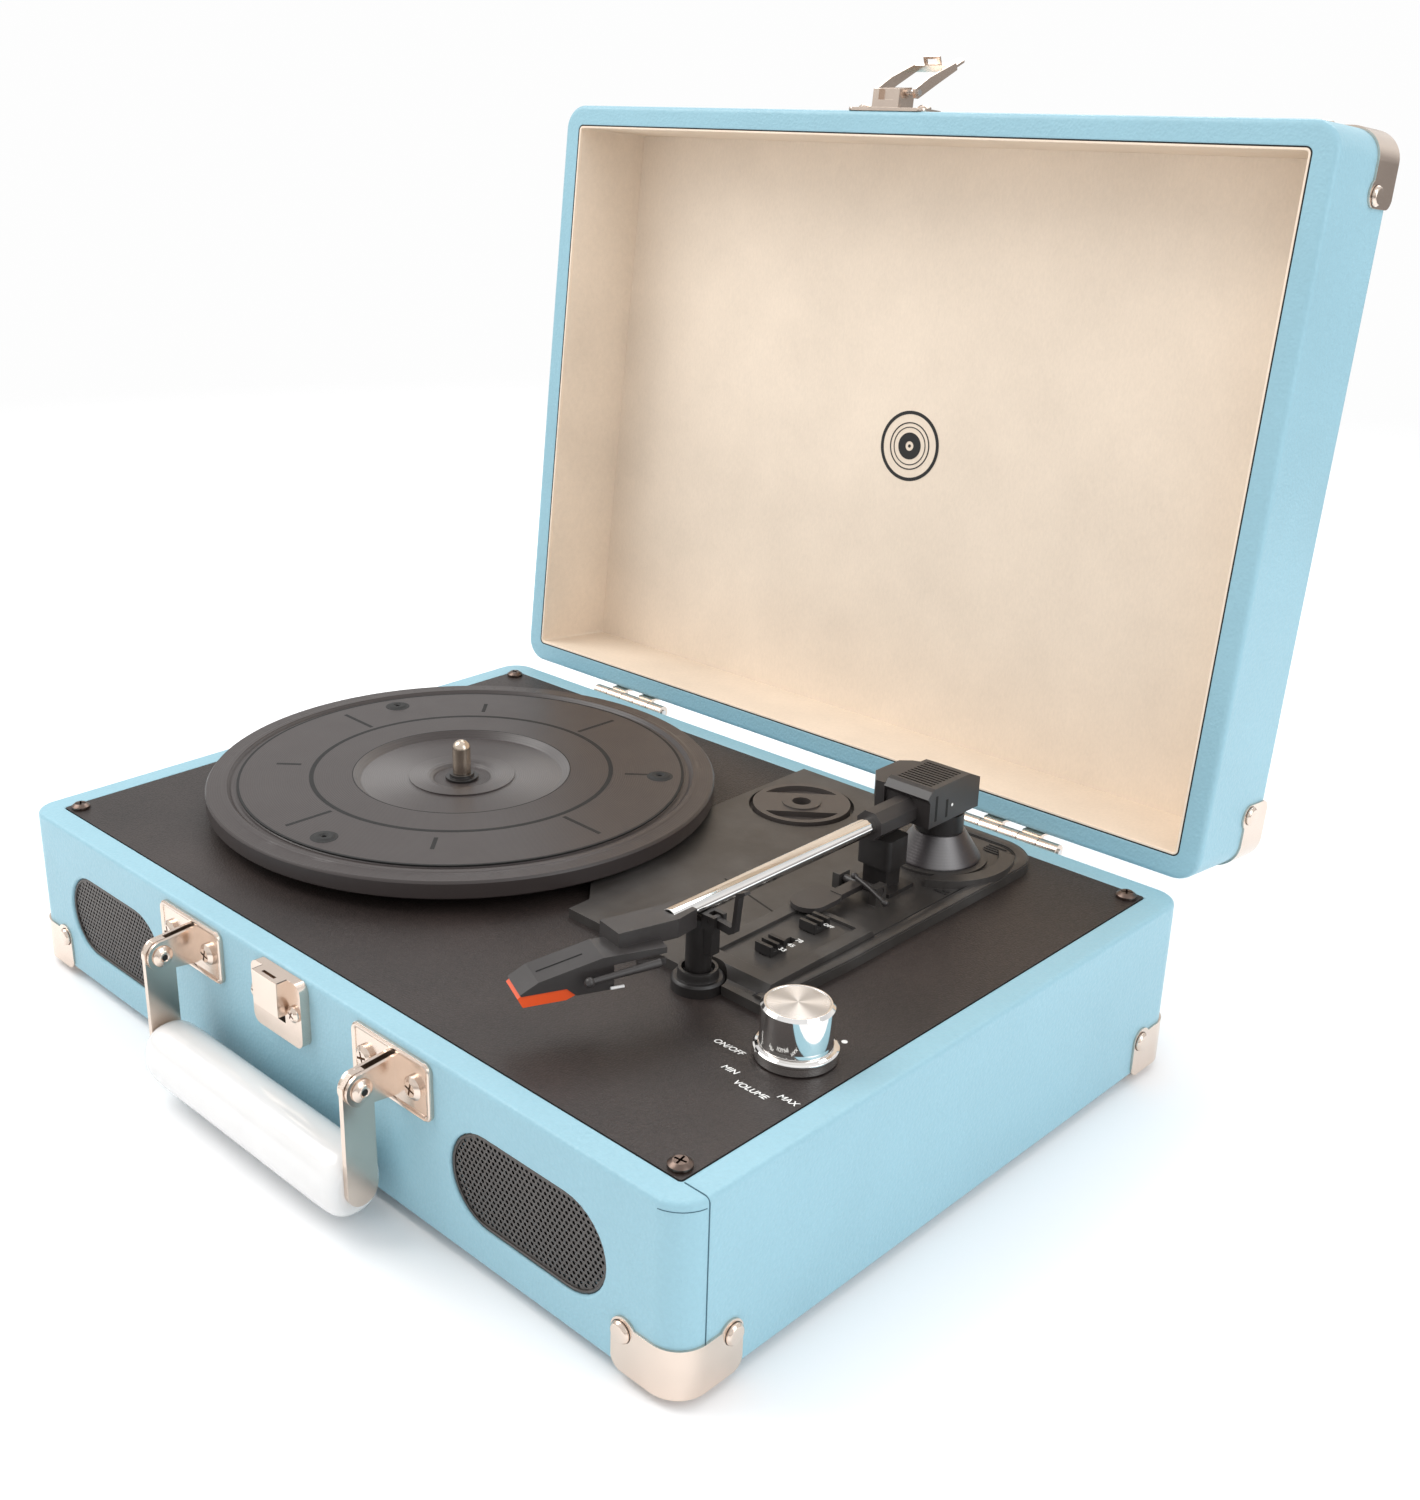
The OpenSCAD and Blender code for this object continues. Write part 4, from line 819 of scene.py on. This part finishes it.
def build_hardware_trim():
    """Rolled rims of the handle plates, black discs painted as the shade in the hollow rivet eyes, and
    black bars and a sheet painted as the shade in the keeper's gaps and pocket.
    """
    face = box_mm("base_case")[0].y
    low, high = box_mm("handle_rivets")
    mid_z = (low.z + high.z) / 2
    rims, eyes, collars = [], [], []
    plate_w, plate_h, plate_r, eye_r = 38.5, 20.0, 3.2, 1.15
    bands = [(0.05, -1.1), (0.1, -1.5), (0.5, -1.85), (1.1, -1.85), (1.7, -1.5), (1.9, -1.1)]
    for a, b in islands("handle_rivets"):
        x = (a.x + b.x) / 2
        rims.append(loft([[(x + px, face + y, mid_z + pz)
                           for px, pz in round_rect(plate_w - 2 * inset, plate_h - 2 * inset,
                                                    plate_r - inset)]
                          for inset, y in bands], closed=True))
        centre = (a + b) / 2
        for side in (-1, 1):
            tip = b.x if side > 0 else a.x
            at = shift(tip, centre.y, centre.z) @ facing((side, 0, 0))
            # A black disc painted as the shade inside the hollow rivet.
            eyes.append(moved(lathe([(0, -0.2), (eye_r, -0.2), (eye_r, FILM), (0, FILM)], 24), at))
            collar = rounded([(eye_r, -0.3), (2.5, -0.3), (2.3, 0.05, 0.2), (1.7, 0.28, 0.3),
                              (eye_r, 0.05, 0.1)], closed=True, steps=3)
            collars.append(moved(lathe(collar, 32, closed=True), at))
    piece("bracket_rims", merged(*rims), "nickel", "case")
    piece("rivet_eye_shade", merged(*eyes), "deep_black", "case", shade=False)
    piece("rivet_collars", merged(*collars), "nickel", "case")
    low, high = box_mm("latch_keeper")
    middle = (low.x + high.x) / 2
    back = face - 3.5
    edge = high.z - 0.15
    gap_x, pocket_x, pocket_low, pocket_high = 6.85, 4.7, 6.7, 13.5
    # Black bars and a black sheet painted as the shade in the keeper's side gaps and its pocket.
    gaps = [tube([(x, low.y + 0.4, edge), (x, back, edge)], 0.2, 8)
            for x in (middle - gap_x, middle + gap_x)]
    pocket = [(middle - pocket_x, low.z + pocket_low), (middle + pocket_x, low.z + pocket_low),
              (middle + pocket_x, low.z + pocket_high), (middle - pocket_x, low.z + pocket_high)]
    lining = [[(x, y, z) for x, z in pocket] for y in (face - 0.75, face - 0.5)]
    piece("keeper_gap_shade", merged(loft(lining), *gaps), "deep_black", "case", shade=False)


def build_grip():
    """The soft white grip between the handle's arms."""
    low, high = box_mm("handle_grip")
    centre = (low + high) / 2
    half = (high.x - low.x) / 2
    sides, power = 48, 2 / 2.35
    stations = [(-half, 0.66), (-half + 0.35, 0.77), (-half + 1.2, 0.865), (-half + 2.8, 0.94),
                (-half + 5.5, 0.98), (-half + 12, 1.0)]
    stations += [(-x, s) for x, s in reversed(stations)]
    loops = []
    for x, s in stations:
        loop = []
        for k in range(sides):
            a = 2 * math.pi * k / sides
            c, v = math.cos(a), math.sin(a)
            y = math.copysign(abs(c) ** power, c) * (high.y - low.y) / 2 * s
            z = math.copysign(abs(v) ** power, v) * (high.z - low.z) / 2 * s
            loop.append((x, centre.y + y, centre.z + z))
        loops.append(loop)
    piece("grip_moulding", loft(loops), "white_plastic", "handle", replaces=["handle_grip"])


# ---------- platter ----------

def build_platter_lines():
    """Painted shade filling the engraved circles and radial marks, and the three rubber pads with
    hollow middles.
    """
    x, y, _ = PLATTER_AT
    button_rise, line_depth = 0.8, 0.5
    top = box_mm("platter_buttons")[1].z - button_rise
    floor = top - line_depth
    # Black fills painted as the shade inside the engraved grooves.
    parts = [ring(58.5, 60.3, floor, top + FILM, 160), ring(87.3, 88.3, floor, top + FILM, 160),
             ring(43.0, 43.4, floor, top + 0.02, 128)]
    for i, angle in enumerate((42, 88, 132, 178, 222, 268, 312, 358)):
        start = 62 + (1 - i % 2) * 3
        length = 10 + (i % 2) * 10
        outline = [(start, -0.8), (start + length, -0.8), (start + length, 0.8), (start, 0.8)]
        parts.append(moved(prism(outline, floor, top + FILM), turn(angle, "Z")))
    piece("platter_groove_shade", moved(merged(*parts), shift(x, y, 0)), "deep_black", "turntable",
          shade=False)
    buttons = []
    crown = 1.15
    for low, high in islands("platter_buttons"):
        centre = (low + high) / 2
        profile = rounded([(0.9, -0.6), (5.2, -0.6), (5.2, 0.1, 0.2), (4.2, 0.35, 0.3),
                           (3.4, 1.05, 0.4), (1.9, crown, 0.3), (0.9, 0.3, 0.2)], closed=True, steps=3)
        profile = [(r, z * (high.z - top) / crown + top) for r, z in profile]
        buttons.append(moved(lathe(profile, 40, closed=True), shift(centre.x, centre.y, 0)))
    piece("platter_pads", merged(*buttons), "black_rubber", "turntable", replaces=["platter_buttons"])


# ---------- tonearm plinth ----------

def build_plinth_trim():
    """Raised rim and ribs on the tonearm plinth, with black strips painted as shade in its groove and
    along a step line.
    """
    low, high = box_mm("plinth")
    top = box_mm("cue_lift_post")[0].z
    x, y, _ = ARM_AT
    corner = Vector((x + 11, y + 13))
    bend = high.x - corner.x
    section = [(-2.3, -0.4), (-2.2, 0.5), (-1.5, 0.95), (0, 1.1), (1.5, 0.95), (2.2, 0.5),
               (2.3, -0.4)]
    rim_inset, groove_inset, rib_inset = 2.6, 5.5, 6.6
    rib_rows, rib_pitch, base_r, base_reach = 28, 1.7, 28.8, 15.3

    def edge(inset):
        path = [(high.x - 1.8 - inset, low.y + 2.6, top), (high.x - inset, low.y + 41, top),
                (high.x - inset, corner.y, top)]
        r = bend - inset
        for k in range(1, 16):
            a = math.radians(90 * k / 15)
            path.append((corner.x + r * math.cos(a), corner.y + r * math.sin(a), top))
        return path + [(low.x + 42, high.y - inset, top)]

    piece("plinth_rim", sweep(edge(rim_inset), section), "plinth_panel", "case")
    # Black strips painted as the shade in the groove inside the rim and along the step.
    groove = [(-0.4, -0.2), (-0.4, FILM), (0.4, FILM), (0.4, -0.2)]
    step = [(low.x + 46, 17.4, top), (low.x + 75, 10.2, top)]
    piece("plinth_groove_shade", merged(sweep(edge(groove_inset), groove), sweep(step, groove)),
          "deep_black", "case", shade=False)
    rib = rounded([(-0.45, -0.2), (-0.45, 0.42, 0.3), (0.45, 0.42, 0.3), (0.45, -0.2)], steps=3)
    ribs = []
    for k in range(rib_rows):
        row = y - 24 + rib_pitch * k
        start = x + (math.sqrt(base_r ** 2 - (row - y) ** 2) if row < y + base_reach else 8)
        rise, r = max(0.0, row - corner.y), bend - rib_inset
        stop = corner.x + math.sqrt(r ** 2 - rise ** 2) if rise < r else start
        if stop - start > 1.5:
            ribs.append(sweep([(start, row, top), (stop, row, top)], rib))
    piece("plinth_ribs", merged(*ribs), "black_plastic", "case")


def build_arm_details():
    """Black fills painted as the shade in the pivot block's slots, a mark on the block, the cue link,
    a black line painted as shade in the headshell's groove, and its pin.
    """
    high = box_mm("pivot_block")[1]
    face = high.x
    # Black fills painted as the shade inside the two slots.
    slots = []
    slot_w, slot_depth, proud = 1.2, 0.3, 0.05
    for y0, z0, z1 in ((ARM_AT[1] - 19.2, high.z - 12.6, high.z - 3.0),
                       (ARM_AT[1] - 12.8, high.z - 12.8, high.z - 6.0)):
        slots.append(prism([(face - slot_depth, y0), (face + proud, y0), (face + proud, y0 + slot_w),
                            (face - slot_depth, y0 + slot_w)], z0, z1))
    piece("pivot_slot_shade", merged(*slots), "deep_black", "tonearm", shade=False)
    dot = lathe([(0, -0.2), (0.6, -0.2), (0.6, 0.05), (0, 0.08)], 20)
    at = shift(face, ARM_AT[1] - 9, high.z - 9) @ facing((1, 0, 0))
    piece("pivot_mark", moved(dot, at), "white_ink", "tonearm", shade=False)
    lever_low, lever_high = box_mm("cue_lever")
    axle = (lever_high.x + lever_low.x) / 2
    back, up = lever_high.y - 3, lever_high.z + 1.6
    rod = [(axle - 1, back, up), (axle + 7, back - 1.6, up - 1.4), (axle + 15, back - 3.6, up - 3.4)]
    ball_r, rod_r = 1.25, 0.75
    arc = [math.radians(15 * k) for k in range(13)]
    ball = lathe([(ball_r * math.sin(a), -ball_r * math.cos(a)) for a in arc], 20)
    balls = [moved(ball, shift(*p)) for p in (rod[0], rod[-1])]
    piece("cue_link", merged(tube(rod, rod_r, 12), *balls), "shell_grey", "cue_handle")
    tube_low, tube_high = box_mm("tonearm_tube")
    neck = shift(ARM_AT[0] + 2.9, ARM_AT[1] - 151.4, (tube_low.z + tube_high.z) / 2)
    shell = neck @ turn(-24, "Z")
    # A black line painted as the shade in the headshell's groove.
    groove = tube([(0, -24, -3.5), (0, -38.6, -6.72)], 0.24, 8)
    piece("headshell_groove", moved(groove, shell), "deep_black", "tonearm", shade=False)
    pin = tube([(7.2, -17.5, -12.6), (7.2, -13.2, -12.6)], 0.5, 12)
    piece("cartridge_pin", moved(pin, shell), "white_plastic", "tonearm")


# ---------- deck fittings ----------

def build_knob():
    """Chrome volume knob: turned body, stepped skirt and a spun top."""
    x, y, _ = KNOB_AT
    deck = box_mm("deck_panel")[1].z
    top = box_mm("volume_knob")[1].z
    shaft_low, shaft_r = 48, 2.9
    body = rounded([(0, deck + 2.4), (9.4, deck + 2.4), (9.4, deck + 4.6, 0.4),
                    (11.3, deck + 4.9, 0.6), (11.1, deck + 6.5, 0.5), (11.1, top - 1.0, 0.25),
                    (10.1, top, 0.2), (9.6, top, 0.1), (9.5, top - 0.25, 0.1), (0, top - 0.25)],
                   steps=4)
    piece("knob_body", moved(lathe(body, 128), shift(x, y, 0)), "chrome", "volume_control",
          replaces=["volume_knob"])
    skirt = rounded([(9.4, deck + 0.4), (12.5, deck + 0.4, 0.2), (12.5, deck + 2.9, 0.3),
                     (12.85, deck + 3.2, 0.15), (12.85, deck + 4.0, 0.2), (12.3, deck + 4.4, 0.3),
                     (11.4, deck + 4.7, 0.3), (9.4, deck + 4.9)], steps=4)
    piece("knob_skirt", moved(lathe(skirt, 160, closed=True), shift(x, y, 0)), "chrome",
          "volume_control")
    disc = rounded([(0, top - 0.3), (9.3, top - 0.3, 0.05), (9.3, top - 0.12, 0.1), (0, top - 0.05)],
                   steps=2)
    piece("knob_top", moved(lathe(disc, 128), shift(x, y, 0)), "spun_metal", "volume_control")
    shaft = lathe([(0, shaft_low), (shaft_r, shaft_low), (shaft_r, deck + 2.5), (0, deck + 2.5)], 24)
    piece("knob_shaft", moved(shaft, shift(x, y, 0)), "steel", "volume_control")


def lettering(name, words, size, place, body, slant=0.25):
    """Printed words, flat on a surface that faces up."""
    curve = bpy.data.curves.new(name, "FONT")
    curve.body = words
    curve.size = size * MM
    curve.shear = slant
    curve.offset = 0.012 * size * MM
    curve.extrude = FILM * MM
    curve.align_x = "CENTER"
    curve.align_y = "CENTER"
    flat = bpy.data.objects.new(name, curve)
    SCENE.collection.objects.link(flat)
    bpy.context.view_layer.update()
    mesh = bpy.data.meshes.new_from_object(
        flat.evaluated_get(bpy.context.evaluated_depsgraph_get()))
    bpy.data.objects.remove(flat)
    part = ([v.co / MM for v in mesh.vertices], [tuple(p.vertices) for p in mesh.polygons])
    return piece(name, moved(part, place), "white_ink", body, shade=False)


RECESS_DEPTH = 1.2       # of the panel round the two sliders, below the plinth's top
LEGEND_MM = 3.1          # letter height of the deck's words


def build_legends():
    """White control words on the deck, and speed numerals and a word beside the two sliders."""
    deck = box_mm("deck_panel")[1].z + FILM
    x, y, _ = KNOB_AT
    words = [("ON/OFF", -17, -10.7), ("MIN", -8.5, -19.7), ("VOLUME", 2.5, -23.3),
             ("MAX", 13.4, -19.7)]
    for word, dx, dy in words:
        name = "legend_" + word.replace("/", "_").lower()
        lettering(name, word, LEGEND_MM, shift(x + dx, y + dy, deck), "case")
    dot = lathe([(0, deck), (0.95, deck), (0.95, deck + 0.06), (0, deck + 0.08)], 24)
    piece("legend_dot", moved(dot, shift(x + 5.2, y + 16.6, 0)), "white_ink", "case", shade=False)
    slider = box_mm("speed_slider")
    floor = box_mm("plinth")[1].z - RECESS_DEPTH + 0.02
    for k, words in enumerate(("33", "45", "78")):
        at = shift(slider[1].x + 3.2, slider[0].y + 2 + 4.2 * k, floor)
        lettering("legend_" + words, words, 2.6, at, "case", 0)
    slider = box_mm("autostop_slider")
    at = shift(slider[1].x + 3.2, slider[0].y + 3, floor)
    lettering("legend_auto", "OFF", 2.2, at, "case", 0)


# Camera fitted to the photo's straight edges, in metres and in the row frame.
LENS_MM, SENSOR_MM = 40.71, 36
CAMERA_SHIFT = (0.0857, -0.0229)
CAMERA_AT = (0.4197, -0.3954, 0.3337)
CAMERA_AXES = ((0.6894, 0.7244, 0.0), (-0.2562, 0.2438, 0.9354), (0.6776, -0.6449, 0.3537))
FLOOR_FADE = (0.55, 1.5)


def stage():
    """Pale floor, soft lights and the camera."""
    floor_z = cad_low.z - 0.0002
    bpy.ops.mesh.primitive_plane_add(size=16, location=(0, 0, floor_z))
    floor = bpy.context.object
    floor.name = "floor"
    p = Paint("floor", (0.93, 0.935, 0.945), 0.7, Specular_IOR_Level=0.15)
    p.color(p.ramp(p.noise(900, 2), (0.3, (0.915, 0.92, 0.93)), (0.7, (0.94, 0.945, 0.955))))
    p.fade(*FLOOR_FADE)
    floor.data.materials.append(p.mat)

    def softbox(name, location, target, size, power, color=(1, 1, 1)):
        light = bpy.data.lights.new(name, "AREA")
        light.shape = "RECTANGLE"
        light.size, light.size_y = size
        light.energy = power
        light.color = color
        lamp = bpy.data.objects.new(name, light)
        lamp.location = location
        lamp.rotation_euler = (Vector(target) - Vector(location)).to_track_quat("-Z", "Y").to_euler()
        SCENE.collection.objects.link(lamp)

    softbox("key", (-0.9, -0.55, 1.25), (0, 0, 0.05), (1.0, 1.0), 13, (1.0, 0.985, 0.96))
    softbox("back", (-0.3, 1.15, 1.4), (0, 0, 0.08), (1.6, 0.8), 12)
    softbox("right", (1.2, 0.1, 0.7), (0, 0, 0.08), (0.7, 1.2), 5, (0.95, 0.98, 1.0))

    world = bpy.data.worlds.new("studio")
    SCENE.world = world
    world.use_nodes = True
    tree = world.node_tree
    background = tree.nodes["Background"]
    coords = tree.nodes.new("ShaderNodeTexCoord")
    parts = tree.nodes.new("ShaderNodeSeparateXYZ")
    tree.links.new(coords.outputs["Generated"], parts.inputs[0])
    ramp = tree.nodes.new("ShaderNodeValToRGB")
    stops = [(0.0, (0.2, 0.19, 0.185)), (0.5, (0.32, 0.305, 0.295)), (0.62, (0.95, 0.94, 0.92)),
             (0.8, (0.75, 0.75, 0.76)), (1.0, (1.0, 1.0, 1.0))]
    while len(ramp.color_ramp.elements) < len(stops):
        ramp.color_ramp.elements.new(0.5)
    for element, (position, color) in zip(ramp.color_ramp.elements, stops):
        element.position = position
        element.color = (*color, 1)
    lift = tree.nodes.new("ShaderNodeMath")
    lift.operation = "MULTIPLY_ADD"
    lift.inputs[1].default_value = 0.5
    lift.inputs[2].default_value = 0.5
    tree.links.new(parts.outputs[2], lift.inputs[0])
    tree.links.new(lift.outputs[0], ramp.inputs[0])
    rays = tree.nodes.new("ShaderNodeLightPath")
    mix = tree.nodes.new("ShaderNodeMix")
    mix.data_type = "RGBA"
    tree.links.new(rays.outputs["Is Glossy Ray"], mix.inputs[0])
    mix.inputs[6].default_value = (0.985, 0.985, 0.985, 1)
    tree.links.new(ramp.outputs[0], mix.inputs[7])
    tree.links.new(mix.outputs[2], background.inputs[0])
    background.inputs[1].default_value = 1.0

    camera = bpy.data.cameras.new("camera")
    camera.sensor_width = SENSOR_MM
    camera.lens = LENS_MM
    camera.shift_x, camera.shift_y = CAMERA_SHIFT
    camera.clip_start = 0.02
    holder = bpy.data.objects.new("camera", camera)
    basis = Matrix(CAMERA_AXES).transposed().to_4x4()
    holder.matrix_world = Matrix.Translation(CAMERA_AT) @ basis
    SCENE.collection.objects.link(holder)
    SCENE.camera = holder
    SCENE.view_settings.view_transform = "Standard"


finish_cad_nodes()
build_case()
build_lid()
build_grilles()
build_seams()
build_rivets()
build_platter_lines()
build_grip()
build_plinth_trim()
build_arm_details()
build_hardware_trim()
build_knob()
build_legends()
stage()
